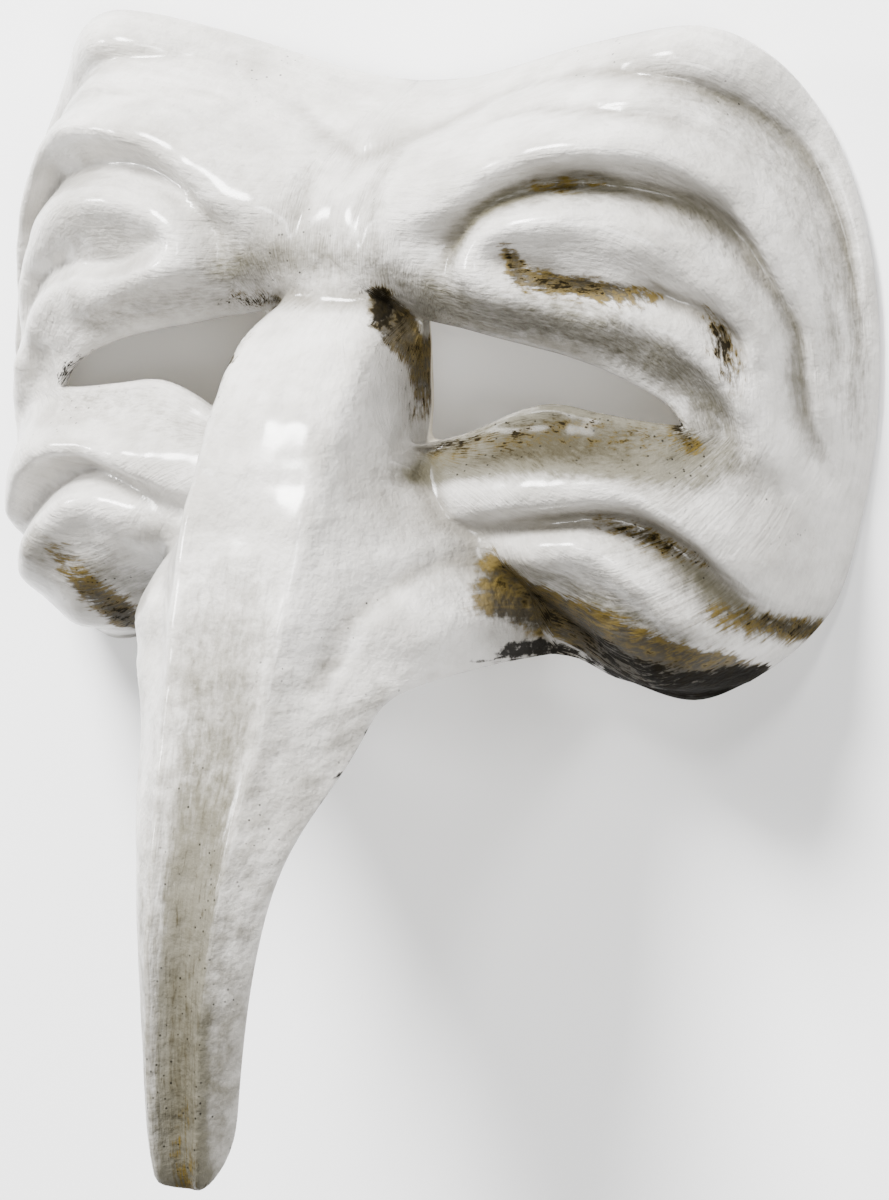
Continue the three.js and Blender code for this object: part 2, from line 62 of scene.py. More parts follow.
# How softly the nose joins the face, and how much narrower its back is inside than outside.
JOIN = 3.0
INNER_BACK = 2.4

# How finely the shell is divided, in steps of the plain solid's own grid.
FINER = 4
ACROSS_FACE = 16
NOSE_BACK = 3
FLANK_STEPS = [0, 0.2, 0.45, 0.7, 0.87, 1]
COUNT = {
    "middle": 4, "beside_eye": 6, "beside_wing": 7, "cheek": 9, "low_side": 7, "high_side": 10,
    "top": 9, "under_wing": 5, "beak": 10,
}

# Where the stretches of the rim and the lids meet: the row of the brow's corner, the height of the
# temple, and how far out on the lids the top, the outer side, the low side and the cheek begin.
BROW_CORNER = 7
TEMPLE = -24.0
LID_SPLITS = {"top": 23, "side": 47, "cheek": 53, "wing": 40}

# How many points of the beak's edge lie under the wing, and of the nose's side beside the eye.
WING_POINTS = 6
BESIDE_EYE_POINTS = 5

# The rim of one half: x, y, height, and how far in the edge rolls over.
TOP_RIM = [
    (0, 37.3, 3, 9), (10, 38.2, 4, 9), (20, 40.8, 6, 9), (30, 43.9, 8, 9), (40, 46.4, 9.5, 10),
    (50, 48.5, 11, 10), (57, 48.9, 11, 11), (63, 47, 9, 13), (68.4, 42.8, 6, 15), (72.4, 37, 2, 16),
]
SIDE_RIM = [
    (72.4, 37, 2, 16), (76.8, 29.2, RIM_LEVEL, 17), (80.5, 20.4, RIM_LEVEL, 18),
    (83.2, 10, RIM_LEVEL, 18), (84.6, 0, RIM_LEVEL, 19), (85, -9, RIM_LEVEL, 20),
    (84.8, -19, RIM_LEVEL, 21), (83.6, -29, RIM_LEVEL, 18), (81.8, -39, RIM_LEVEL, 12),
    (79.8, -47.4, RIM_LEVEL, 9), (77.2, -54.2, 1, 9),
]
CHEEK_RIM = [
    (77.2, -54.2, 1, 9), (73.2, -60, 6, 9), (66.5, -65.3, 13, 9), (58.8, -69, 16, 9),
    (51.8, -68.4, 17, 9), (44.7, -64.8, 20, 9), (39, -61.4, 23, 9), (34.5, -59.2, 27, 9),
]
UNDER_NOSE = [(34.5, -59.2, 27, 9), (22, -62, 34, 9), (0, -65, 36, 9)]

# The eye hole: its upper lid from the inner to the outer corner, and its lower lid back again.
UPPER_LID = [
    (14.9, -1.6), (24, -3.4), (33, -5.4), (40, -6.9), (47, -9), (53.5, -12), (57.6, -15), (60, -18.4),
]
LOWER_LID = [
    (60, -18.4), (54, -17.6), (46, -16.3), (38, -15.2), (31, -17), (24, -20.4), (16.2, -22.8),
]

# Where the nose leaves the face, from its root to the corner of the wing, and the beak's own edge.
NOSE_SIDE = [
    (12.2, -0.8), (12.7, -5.5), (13.4, -12), (14.4, -18), (16, -24), (21.5, -30.6), (27.5, -35.5),
    (32.6, -41), (35.2, -47.5), (35.6, -53.6), (36.6, -60.2),
]
BEAK_EDGE = [
    (36.6, -60.2), (34.5, -59.2), (29.8, -59.2), (26, -60.2), (23.6, -62.2), (22, -65.6), (20.6, -70.2),
    (18.2, -76), (15.6, -82), (13.3, -89.5), (12.2, -95.5), (11.3, -102), (10.5, -109), (9.7, -117.5),
    (9, -126), (8.5, -132), (7, -137), (4.2, -140.8),
]
ROOT_TOP = 9.5
WING_ROW = -50.0
BEAK_TOP = -72.0
BACK_SHARE = 0.8

# The nose against y: the height of its back, the half width of its back, the steepness of its
# flanks, how much they round over, and the radius of the shoulder between.
NOSE_HEIGHT = [
    (40, -120), (6, 28), (4, 35), (2.5, 40.5), (1, 45), (-0.5, 49), (-2, 52), (-5, 56.4),
    (-12, 64), (-21, 70.6), (-33, 76.2), (-44.7, 80.6), (-60, 86), (-70, 89.4), (-78, 92.4),
    (-85, 95.2), (-93, 97.9), (-101, 99.7), (-109, 100.7), (-118, 101.3), (-126, 101.4), (-134, 101),
    (-139, 99.8), (TIP, 98),
]
NOSE_HALF = [
    (6, 6.5), (2, 8.2), (0, 9.9), (-2, 11.5), (-5, 12.8), (-12, 13.2), (-28, 12.2), (-44, 11),
    (-60, 9.8), (-78, 7.8), (-93, 6.3), (-109, 5.3), (-126, 4.6), (-142, 3.8),
]
NOSE_STEEP = [
    (6, 4), (2, 5), (-2, 8), (-12, 9), (-20, 7.5), (-26, 5), (-32, 3), (-40, 2), (-50, 1.65),
    (-58, 1.5), (-62, 1.3), (-70, 0.95), (-78, 0.6), (-85, 0.5),
]
NOSE_ROLL = [(-50, 0), (-62, 0.015), (-78, 0.05), (-93, 0.1), (-109, 0.16), (-126, 0.22), (-141, 0.3)]
NOSE_SHOULDER = [(6, 1.8), (-12, 1.7), (-40, 1.5), (-60, 1.3), (-80, 0.9), (-141, 0.8)]

# Outside the wings the flank falls more steeply: from where, its slope and its blend. Past
# BEAK_FROM the nose is a beak, with a trough along its back and a raised edge on either side of it.
# The trough is given by its depth and its share of the back's half width. The edges are given by
# their height, the part of it that they keep above the beak, their place as a share of the half
# width, and their own width.
WING_SIDE = (31.0, 2.2, 3.0)
BEAK_FROM = (-75.0, 10.0)
TROUGH = (1.7, 0.62)
BACK_EDGE = (0.8, 0.4, 0.95, 1.3)

# Under the cheeks the face falls from FACE_END's line with its slope, down to the rim's own height
# over a soft lip. Folds fade out FOLD_FADE rolls from the rim. The two half widths of a fold pass
# into each other over SIDE_BLEND.
FACE_END = (-64.0, 3.0)
LIP = 1.6
FOLD_FADE = 0.12
SIDE_BLEND = 0.6

# The painted skin's folds against the plain solid's: how much higher its ridges and deeper its
# grooves are, how full the ridges, how sharp the bottoms of the grooves and how much wider these
# run out.
RIDGE_SHARE = 1.1
RIDGE_EDGE = 2.4
CREASE_SHARE = 1.45
CREASE_EDGE = 1.35
CREASE_WIDER = 1.05

# Each fold: its path, its rise along the path (below zero for a groove), and its half widths on
# both sides.
EYE_HOLLOW = ([(14, -11), (38, -12), (60, -18)], [-9, -7.5, -3], [14, 11, 8], [14, 11, 8], 4)
FOLDS = {
    "forehead groove": (
        [(0, 24.5), (7, 27.5), (14, 31), (22, 36), (33, 39), (45, 40), (54, 39.5), (62, 36),
         (69, 30), (74, 23), (78, 14), (80.5, 4), (82, -6)],
        [-3.6, -4, -4.2, -4.6, -5, -5.2, -5.4, -5.4, -5, -4.6, -4, -3, -2], [4, 3.4, 3.2, 3, 2.4],
        [3.4, 3.2, 3.2, 2.8, 2.2]),
    "brow groove": (
        [(16, 25), (20, 30), (27, 33), (38, 34.3), (48, 34), (55, 33), (61, 30.5), (67, 26),
         (72, 20), (75.3, 14), (78, 6), (79.3, -3), (80.5, -12), (81, -20)],
        [0, -1.8, -3, -3.2, -3.2, -3.2, -3.2, -3, -2.8, -2.4, -1.6, 0], [2, 2, 1.8], [2, 2, 1.8]),
    "brow ridge": (
        [(9, 14), (14, 17), (23, 20.6), (31, 25.3), (41, 28.6), (51, 29.2), (60, 27), (67, 21.6),
         (71.5, 14), (75, 6), (78, -1), (79, -10), (80.5, -20), (80.5, -28)],
        [2.2, 3.4, 4.2, 4.5, 4.5, 4.5, 4.2, 4, 3.5, 3, 2, 0], [6, 5.5, 5, 4, 3.4, 3],
        [6, 4, 3.2, 3, 2.6, 2.4]),
    "deep groove over the eye": (
        [(21.5, 4), (22, 11), (25, 14.6), (29, 18.5), (36, 21.5), (44, 22.5), (54, 20.7),
         (61, 18.2), (66, 13.8), (70, 8), (73, 2), (75, -4), (75.3, -11), (76, -18), (78, -25),
         (80, -31)], [0, -2.5, -4, -4.5, -4.5, -4.5, -4.2, -4, -4, -3.5, -3, -3, -2, 0],
        [2.8, 2.6, 2.6, 2.4], [3.2, 3.2, 3, 2.4]),
    "lid fold, turning back on itself": (
        [(52, 0.6), (44, 1.4), (36, 3.4), (30, 6.4), (28, 10.6), (30, 14.6), (35, 17), (42, 18),
         (50, 17.8), (57.5, 15.4), (63.5, 11), (68, 5.4), (71, 0), (72, -6), (73, -13), (75, -21),
         (78, -29)], [1, 2.2, 3.6, 4.4, 5, 5, 4.8, 4.6, 4.4, 4.2, 3.8, 3.2, 2.6, 2, 0],
        [4.4, 5, 4.8, 3.6, 3.4, 3.4, 3.4], [3.4, 3.4, 4.6, 6, 6, 4.6, 3]),
    "groove inside the lid fold": (
        [(35, 9.6), (38.5, 7.4), (43, 5.6), (49, 5), (55, 4.6), (60, 3.2), (65, 0), (68, -5),
         (69.5, -10), (71, -15)], [0, -1.6, -2.2, -2.2, -2, -2, -2.6, -3, -2, 0], [2.2], [2.2]),
    "upper lid and outer eye ridge": (
        [(48, 1.6), (53, 1.2), (60, -1.4), (65, -5.5), (68.3, -11), (71.5, -18), (75, -27),
         (77.5, -35), (79.5, -42)], [0, 1.2, 2.4, 3, 3, 2.6, 2.2, 1.6, 0], [2.4], [3.6, 3.2, 2.6]),
    "cheek ridge": (
        [(17, -34), (26, -32), (38, -30), (52, -29), (60, -31), (66, -35.4), (71, -41.6),
         (74.5, -47), (77, -51)], [0, 2, 3.4, 4.2, 4.6, 5.4, 5.8, 4.4, 1], [5, 6, 6.4, 5],
        [3.2, 3.2, 3.2, 3]),
    "cheek groove": (
        [(21, -38), (28, -37), (36, -35.4), (44, -34.2), (49, -34), (54, -35.6), (59, -39),
         (63.5, -43.6), (67.5, -48.6), (71, -52.6), (75, -54)],
        [-0.4, -0.6, -1.2, -2, -3.2, -4.2, -4.4, -4.4, -4, -2], [2.4, 2.6, 3], [2.2, 2.4, 2.8]),
    "lower cheek ridge": (
        [(26, -39.6), (33, -39), (41, -38), (48, -37.4), (54.4, -39), (60, -43), (64.6, -48.6),
         (69, -54.6), (73, -58.4)], [0, 2, 3.4, 4.4, 5, 5.8, 6.2, 5, 2], [3], [5.6, 6, 5]),
    "hollow under the cheek": (
        [(33, -42), (35.5, -48), (41, -54), (50, -59)], [-1, -4, -4.5, -2], [4], [4.5]),
    "frown line": ([(6, 12), (5.6, 18), (7, 23.5)], [-0.6, -1.4, -0.4], [1.8], [1.8]),
}
WING_BULGE = ([(24, -48), (27.5, -52), (26, -58)], [6.4, 8.6, 6], [8], [8])
WING_CREASE = (
    [(34.5, -44), (30, -41.5), (24, -41.5), (19, -46), (15.5, -54), (13.5, -63)],
    [-2.6, -3.6, -3.4, -2.6, -1.6, 0], [2.4], [2.6])


def catmull(points, t):
    """The smooth curve through the points at t from 0 to 1: cubics, each bent by its neighbours."""
    p = np.asarray(points, float)
    p = np.vstack([2 * p[0] - p[1], p, 2 * p[-1] - p[-2]])
    last = len(p) - 4
    t = np.clip(t, 0, 1) * (last + 1)
    i = np.minimum(t.astype(int), last)
    f = (t - i)[:, None]
    a, b, c, d = p[i], p[i + 1], p[i + 2], p[i + 3]
    cubic = (3 * b - a - 3 * c + d) * f**3 + (2 * a - 5 * b + 4 * c - d) * f**2
    return 0.5 * (cubic + (c - a) * f + 2 * b)


def evenly(points, n):
    """n + 1 points on that curve, spaced evenly by its length in x and y."""
    fine = catmull(points, np.linspace(0, 1, 80 * (len(points) - 1) + 1))
    step = np.linalg.norm(np.diff(fine[:, :2], axis=0), axis=1)
    run = np.concatenate([[0], np.cumsum(step)])
    at = np.linspace(0, run[-1], n + 1)
    return np.stack([np.interp(at, run, column) for column in fine.T], axis=1)


def steady(rows, key):
    """A list of (key, value) rows as a smooth curve that never overshoots between its rows."""
    rows = np.array(sorted(rows), float)
    k, v = rows[:, 0], rows[:, 1]
    h = np.diff(k)
    slope = np.diff(v) / h
    tangent = np.concatenate([slope[:1], np.zeros(len(k) - 2), slope[-1:]])
    same = slope[:-1] * slope[1:] > 0
    before, after = 2 * h[1:] + h[:-1], h[1:] + 2 * h[:-1]
    a = np.where(same, slope[:-1], 1)
    b = np.where(same, slope[1:], 1)
    tangent[1:-1] = np.where(same, (before + after) / (before / a + after / b), 0)
    t = np.clip(key, k[0], k[-1])
    i = np.clip(np.searchsorted(k, t, side="right") - 1, 0, len(k) - 2)
    f = (t - k[i]) / h[i]
    g = 1 - f
    ends = v[i] * (1 + 2 * f) * g * g + v[i + 1] * f * f * (3 - 2 * f)
    return ends + h[i] * (tangent[i] * f * g * g - tangent[i + 1] * f * f * g)


def stroke(x, y, path, rise, left, right, edge=2, steps=40):
    """A bell across a path: rise times e to the minus (distance / half width) to the power edge."""
    run = evenly(path, steps)
    nearest = np.full(x.shape, 1e9)
    s = np.zeros(x.shape)
    side = np.zeros(x.shape)
    for k in range(steps):
        ex, ey = run[k + 1] - run[k]
        square = ex * ex + ey * ey
        dx, dy = x - run[k, 0], y - run[k, 1]
        t = np.clip((dx * ex + dy * ey) / square, 0, 1)
        far = (dx - t * ex) ** 2 + (dy - t * ey) ** 2
        closer = far < nearest
        nearest = np.where(closer, far, nearest)
        s = np.where(closer, (k + t) / steps, s)
        side = np.where(closer, (ex * dy - ey * dx) / np.sqrt(square), side)
    to_left = 1 / (1 + np.exp(np.clip(-side / SIDE_BLEND, -40, 40)))

    def along(values):
        even = np.linspace(0, 1, len(values))
        return np.interp(s, even, values) if len(values) > 1 else values[0]

    width = along(left) * to_left + along(right) * (1 - to_left)
    return along(rise) * np.exp(-((np.sqrt(nearest) / width) ** edge))


def fold_height(x, y, fold):
    """A ridge as its round bell; a groove as a deeper bell that comes to a crease at its bottom."""
    path, rise, left, right = fold
    if sum(rise) > 0:
        return RIDGE_SHARE * stroke(x, y, path, rise, left, right, RIDGE_EDGE)
    wider = [[CREASE_WIDER * width for width in side] for side in (left, right)]
    return CREASE_SHARE * stroke(x, y, path, rise, *wider, CREASE_EDGE)


def rim_loop():
    """The closed rim of the whole face as short steps: x, y, height and roll."""
    half = evenly(TOP_RIM + SIDE_RIM[1:] + CHEEK_RIM[1:] + UNDER_NOSE[1:], 360)
    half[:, 2] = np.maximum(half[:, 2], RIM_LEVEL)
    other = half[1:-1][::-1] * [-1, 1, 1, 1]
    return np.vstack([half, other])


# Added to squared distances, so that a point on the rim has one too.
LEAST_SQUARE = 0.003


def near_rim(x, y):
    """How far a point lies inside the rim, in rolls, and the rim's height near it.

    Each rim step pulls with its length over the fourth power of its distance, both in rolls. The
    pulls of a straight rim add up to half pi over the cube of the depth, which gives the depth.
    The height is the mean of the rim's heights by their pulls.
    """
    loop = rim_loop()
    after = np.roll(loop, -1, axis=0)
    share = np.linalg.norm(after[:, :2] - loop[:, :2], axis=1) / loop[:, 3]
    weight = np.zeros(x.shape)
    height = np.zeros(x.shape)
    within = np.zeros(x.shape, bool)
    for p, q, part in zip(loop, after, share):
        far = ((x - p[0]) ** 2 + (y - p[1]) ** 2 + LEAST_SQUARE) / p[3] ** 2
        pull = part / far**2
        weight += pull
        height += pull * p[2]
        if p[1] != q[1]:
            crossing = (p[1] > y) != (q[1] > y)
            within ^= crossing & (x < (q[0] - p[0]) * (y - p[1]) / (q[1] - p[1]) + p[0])
    depth = np.cbrt(np.pi / 2 / weight)
    return np.where(within, depth, np.maximum(-depth, -1)), height / weight


def soft_plus(t, blend):
    """A ramp that starts at zero, rounded over by blend."""
    return (t + np.sqrt(t * t + blend * blend)) / 2


def soft_max(a, b, blend):
    """The higher of two surfaces, with the join between them rounded by blend."""
    return (a + b + np.sqrt((a - b) ** 2 + blend * blend)) / 2


def nose_height(x, y):
    """The nose: a flat back less its falling flanks and the beak's trough, plus two edges and wings."""
    half = steady(NOSE_HALF, y)
    blend = steady(NOSE_SHOULDER, y)
    down = soft_plus(x - half, blend)
    drop = steady(NOSE_STEEP, y) * (down - soft_plus(-half, blend)) + steady(NOSE_ROLL, y) * down**2
    begins, slope, join = WING_SIDE
    outside = slope * soft_plus(x - begins, join)
    beak = 1 / (1 + np.exp((y - BEAK_FROM[0]) / BEAK_FROM[1]))
    deep, share = TROUGH
    trough = deep * beak * np.exp(-((x / (share * half)) ** 2))
    high, kept, place, wide = BACK_EDGE
    edge = high * (kept + beak) * np.exp(-(((x - place * half) / wide) ** 2))
    wing = stroke(x, y, *WING_BULGE) + stroke(x, y, *WING_CREASE)
    return steady(NOSE_HEIGHT, y) - drop - outside - trough + edge + wing


def outside_height(x, y):
    """The mask's outside: a dome that rolls up from the rim, with its folds, joined to the nose."""
    x = np.abs(x)
    depth, rim = near_rim(x, y)
    dome = rim + (CROWN - rim) * (1 - np.exp(-depth))
    kept = 1 - np.exp(-((depth / FOLD_FADE) ** 2))
    carved = sum(fold_height(x, y, fold) for fold in FOLDS.values()) + stroke(x, y, *EYE_HOLLOW)
    below = np.maximum(FACE_END[0] - y, 0) * FACE_END[1]
    face = dome + kept * carved - below
    face = np.where(depth > 0, soft_max(face, rim, LIP), face)
    return soft_max(face, nose_height(x, y), JOIN)


# The stretch of x and y that the grid of heights covers. The ball that finds the inside touches the
# outside on rings of these radii, in shares of the wall, at this many angles.
FIELD_X = (-4, 92)
FIELD_Y = (-148, 54)
BALL_RINGS = (0.3, 0.6, 0.82, 0.95, 1.0)
BALL_ANGLES = 16


class Field:
    """Heights of the outside on an even grid, read between its points by straight lines."""

    def __init__(self, step=1.0):
        self.step = step
        self.x = np.arange(*FIELD_X, step)
        self.y = np.arange(*FIELD_Y, step)
        gx, gy = np.meshgrid(self.x, self.y, indexing="ij")
        self.z = outside_height(gx, gy)

    def at(self, x, y):
        """The height at a point: the mean of the four grid heights round it, by their nearness."""
        u = np.clip((np.abs(x) - self.x[0]) / self.step, 0, len(self.x) - 1.001)
        v = np.clip((y - self.y[0]) / self.step, 0, len(self.y) - 1.001)
        i, j = u.astype(int), v.astype(int)
        f, g = u - i, v - j
        low = self.z[i, j] * (1 - g) + self.z[i, j + 1] * g
        high = self.z[i + 1, j] * (1 - g) + self.z[i + 1, j + 1] * g
        return low * (1 - f) + high * f

    def inside(self, x, y):
        """The inner skin: how low a ball of the wall's radius reaches as it rolls along the outside.

        For each offset up to that radius: the outside's height there, less the ball's height there.
        """
        lowest = self.at(x, y) - WALL
        for radius in BALL_RINGS:
            sag = WALL * np.sqrt(max(1 - radius * radius, 0))
            for angle in np.linspace(0, 2 * np.pi, BALL_ANGLES, endpoint=False):
                dx, dy = WALL * radius * np.cos(angle), WALL * radius * np.sin(angle)
                lowest = np.minimum(lowest, self.at(x + dx, y + dy) - sag)
        return lowest

    def hollows(self, x, y, reach):
        """How far the surface lies below its own mean: above zero in a groove.

        The mean is weighted by a bell as wide as reach, and taken out to twice the reach.
        """
        far = np.arange(-8, 9) * reach / 4
        total = np.zeros(x.shape)
        weight = 0
        floor = self.at(x, y)
        for a in far:
            for b in far:
                share = np.exp(-(a * a + b * b) / (reach * reach))
                there = self.at(x + a, y + b)
                total += share * np.clip(there, floor - 2 * reach, floor + 2 * reach)
                weight += share
        return total / weight - floor


def stretch(points, axis, start, end, n):
    """n + 1 points along a curve between two places, each named by the value of one coordinate."""
    fine = evenly(points, 800)[:, :2]
    a = np.argmin(np.abs(fine[:, axis] - start))
    b = np.argmin(np.abs(fine[:, axis] - end))
    at = np.linspace(a, b, n + 1)
    return np.stack([np.interp(at, np.arange(len(fine)), column) for column in fine.T], axis=1)


def straight(a, b, n):
    """n + 1 points on a straight line."""
    return np.linspace(a, b, n + 1)


def in_two(points, first, n, m):
    """A curve in two stretches that meet at its point number first: n steps, then m steps."""
    return np.vstack([evenly(points[:first], n), evenly(points[first - 1:], m)[1:]])


def moved_in(line, before, after, by):
    """A line moved to its left by a distance, square to the chord of each point's neighbours."""
    chord = np.vstack([line[1:], [after]]) - np.vstack([[before], line[:-1]])
    chord /= np.linalg.norm(chord, axis=1)[:, None]
    return line + by * np.stack([-chord[:, 1], chord[:, 0]], axis=1)


def nose_rows(ends, narrower, tip):
    """The nose as rows of points from its root to its tip, for x from 0 outwards."""
    above = FINER * (COUNT["beside_eye"] + COUNT["beside_wing"])
    last = len(ends) - 1
    k = np.arange(len(ends))
    stops = [(0, ROOT_TOP), (above, WING_ROW), (last - FINER * COUNT["beak"], BEAK_TOP), (last, tip)]
    middle = steady(stops, k)
    back = np.minimum(steady(NOSE_HALF, middle) - narrower, ends[:, 0] * BACK_SHARE)[:, None]
    n = len(FLANK_STEPS) - 1
    flank = np.interp(np.linspace(0, n, FINER * n + 1), np.arange(n + 1), FLANK_STEPS)
    inner = back * np.linspace(0, 1, FINER * NOSE_BACK + 1)[:-1]
    x = np.hstack([inner, back + (ends[:, :1] - back) * flank])
    bend = 1 + np.minimum(k / above, 1)[:, None]
    y = middle[:, None] + (ends[:, 1] - middle)[:, None] * (x / ends[:, :1]) ** bend
    return np.stack([x, y], axis=2)


def skins():
    """The grids of both skins: rings round the eye hole of one half, and the rows of the nose."""
    n = {name: FINER * count for name, count in COUNT.items()}
    side = (TOP_RIM + SIDE_RIM[1:] + CHEEK_RIM[1:])[BROW_CORNER:]
    corner, low_end = side[0], CHEEK_RIM[0]
    top = stretch(TOP_RIM, 0, corner[0], 0, n["top"])
    high = stretch(side, 1, TEMPLE, corner[1], n["high_side"])
    low = stretch(side, 1, low_end[1], TEMPLE, n["low_side"])
    cheek = stretch(CHEEK_RIM, 0, BEAK_EDGE[0][0], low_end[0], n["cheek"])
    beak = in_two(BEAK_EDGE, WING_POINTS, n["under_wing"], n["beak"])
    nose_side = in_two(NOSE_SIDE, BESIDE_EYE_POINTS, n["beside_eye"], n["beside_wing"])
    across = FINER * (COUNT["middle"] + NOSE_BACK + len(FLANK_STEPS) - 1)
    inner_top, inner_low, outer_end = UPPER_LID[0], LOWER_LID[-1], LOWER_LID[0]
    split = LID_SPLITS
    eye = np.vstack([part[:-1] for part in (
        stretch(UPPER_LID, 0, split["top"], inner_top[0], across),
        straight(inner_top, inner_low, n["beside_eye"]),
        stretch(LOWER_LID, 0, inner_low[0], split["wing"], n["beside_wing"]),
        stretch(LOWER_LID, 0, split["wing"], split["cheek"], n["cheek"]),
        stretch(LOWER_LID, 0, split["cheek"], outer_end[0], n["low_side"]),
        stretch(UPPER_LID, 0, outer_end[0], split["side"], n["high_side"]),
        stretch(UPPER_LID, 0, split["side"], split["top"], n["top"]),
    )])
    rim = np.vstack([cheek, low[1:], high[1:], top[1:]])
    rim[0] = beak[0]
    rim[-1, 0] = 0
    rim_inside = moved_in(rim, beak[1], rim[-2] * [-1, 1], WALL)
    beak_inside = moved_in(beak[::-1], (0, TIP), rim[1], WALL)[::-1]

    def skin(rim_line, beak_line, narrower, tip):
        nose = nose_rows(np.vstack([nose_side[:-1], beak_line]), narrower, tip)
        middle = straight(rim_line[-1], nose[0, 0], n["middle"])
        outer = np.vstack([part[:-1] for part in (middle, nose[0], nose_side, rim_line)])
        t = np.linspace(0, 1, FINER * ACROSS_FACE + 1)[:, None, None]
        return eye * (1 - t) + outer * t, nose

    inner = skin(rim_inside, beak_inside, INNER_BACK, TIP + WALL)
    return skin(rim, beak, 0, TIP), inner, len(rim) - 1


def mirrored(grid):
    """The same points on the wearer's other side: x turned to its opposite."""
    return grid * [-1, 1]


def quads_of(shape, closed):
    """The corner numbers of a grid's faces, row by row."""
    index = np.arange(shape[0] * shape[1]).reshape(shape[:2])
    if closed:
        index = np.hstack([index, index[:, :1]])
    corners = [index[:-1, :-1], index[:-1, 1:], index[1:, 1:], index[1:, :-1]]
    return np.stack(corners, axis=2).reshape(-1, 4)


# How far apart the rings round an eye hole and the rows of the nose lie, about.
RING_GAP = 0.6
ROW_GAP = 1.5


def run_of(grid, closed, turned):
    """How far along and across a grid each face corner lies, in millimetres, for the brush marks.

    Along is the length run on the outer ring or last row, across counts rings or rows by their gap.
    """
    ring = np.vstack([grid[-1], grid[-1][:1]]) if closed else grid[-1]
    along = np.concatenate([[0], np.cumsum(np.linalg.norm(np.diff(ring, axis=0), axis=1))])
    across = np.cumsum(np.full(len(grid), RING_GAP if closed else ROW_GAP))
    a = np.broadcast_to(along, (len(grid), len(along)))
    b = np.broadcast_to(across[:, None], a.shape)
    pair = (b, a) if turned else (a, b)
    corners = [(slice(None, -1), slice(None, -1)), (slice(None, -1), slice(1, None)),
               (slice(1, None), slice(1, None)), (slice(1, None), slice(None, -1))]
    shown = [np.stack([part[corner] for corner in corners], axis=2).reshape(-1, 4) for part in pair]
    return np.stack(shown, axis=2)


# How far from an edge the rounding reaches, over what share of that it sets in, how far a point may
# move in one turn, and the number of turns. Distances are taken block by block.
ROUND_REACH = 1.6
ROUND_RISE = 0.7
ROUND_MOVE = 0.6
ROUND_TURNS = 14
BLOCK = 20000
EDGE_BLOCK = 200


def rounded_edges(points, faces, sharp, least):
    """Rounds the shell's edges: near them points move again and again to their neighbours' mean.

    The share of that move falls smoothly from ROUND_MOVE at an edge to nothing at ROUND_REACH, but
    not below a point's own least share.
    """
    edge = points[sharp]
    far = np.full(len(points), np.inf)
    for chunk in np.array_split(edge, max(len(edge) // EDGE_BLOCK, 1)):
        for start in range(0, len(points), BLOCK):
            block = slice(start, start + BLOCK)
            gap = ((points[block, None, :] - chunk[None, :, :]) ** 2).sum(axis=2).min(axis=1)
            far[block] = np.minimum(far[block], gap)
    t = np.clip((ROUND_REACH - np.sqrt(far)) / (ROUND_RISE * ROUND_REACH), 0, 1)
    share = np.maximum(t * t * (3 - 2 * t) * ROUND_MOVE, least)[:, None]
    a = faces.ravel()
    b = np.roll(faces, -1, axis=1).ravel()
    count = np.bincount(a, minlength=len(points)) + np.bincount(b, minlength=len(points))
    for _ in range(ROUND_TURNS):
        total = np.stack([
            np.bincount(a, points[b, c], len(points)) + np.bincount(b, points[a, c], len(points))
            for c in range(3)
        ], axis=1)
        points = points + share * (total / count[:, None] - points)
    return points


# How much lighter the painted shade and dirt of the grooves and hollows are on the wearer's right side,
# where that begins and over what distance it grows.
LIGHTER_GROOVES_SIDE = 0.9
LIGHTER_GROOVES_FROM = (4, 30)

# How far the rim's lowest points stay above the floor, and how much softer the inside is.
OFF_THE_FLOOR = 0.01
INSIDE_SOFTNESS = 0.25

# Points in the same cell of this size are one point. The wall between the two skins has EDGE_STEPS
# steps where they meet at an edge.
SAME_PLACE = 0.002
EDGE_STEPS = 6

# How far round a point its mean height is taken, and how far below that mean counts in full: for
# the narrow grooves and for the wide hollows. They set the painted shade and dirt of the grooves
# and the painted shade of the hollows.
GROOVE_REACH = 2.5
GROOVE_DEPTH = 0.9
VALLEY_REACH = 8
VALLEY_DEPTH = 3

# The lumps that the hand leaves in the paper: their length, their height and their turn in radians.
LUMPS = [(31, 0.4, 0.3), (17, 0.3, 1.7), (9.5, 0.17, 4.1), (6.1, 0.08, 2.3)]

# The lumps are whole from this depth inside the rim, in rolls. Below the first number of
# BEAK_LUMPS, on the beak, their share is the second.
LUMPS_WHOLE = 0.25
BEAK_LUMPS = (-60, 0.5)


def lumps(x, y):
    """Low uneven waves: for each length two sines multiplied, turned, and bent by slower sines."""
    total = np.zeros(x.shape)
    for length, height, turn in LUMPS:
        k = 2 * np.pi / length
        u = x * np.cos(turn) + y * np.sin(turn) + 3 * np.sin(0.09 * y + turn)
        v = y * np.cos(turn) - x * np.sin(turn) + 3 * np.sin(0.08 * x - turn)
        total += height * np.sin(k * u + turn) * np.sin(0.8 * k * v + 2 * turn)
    return total


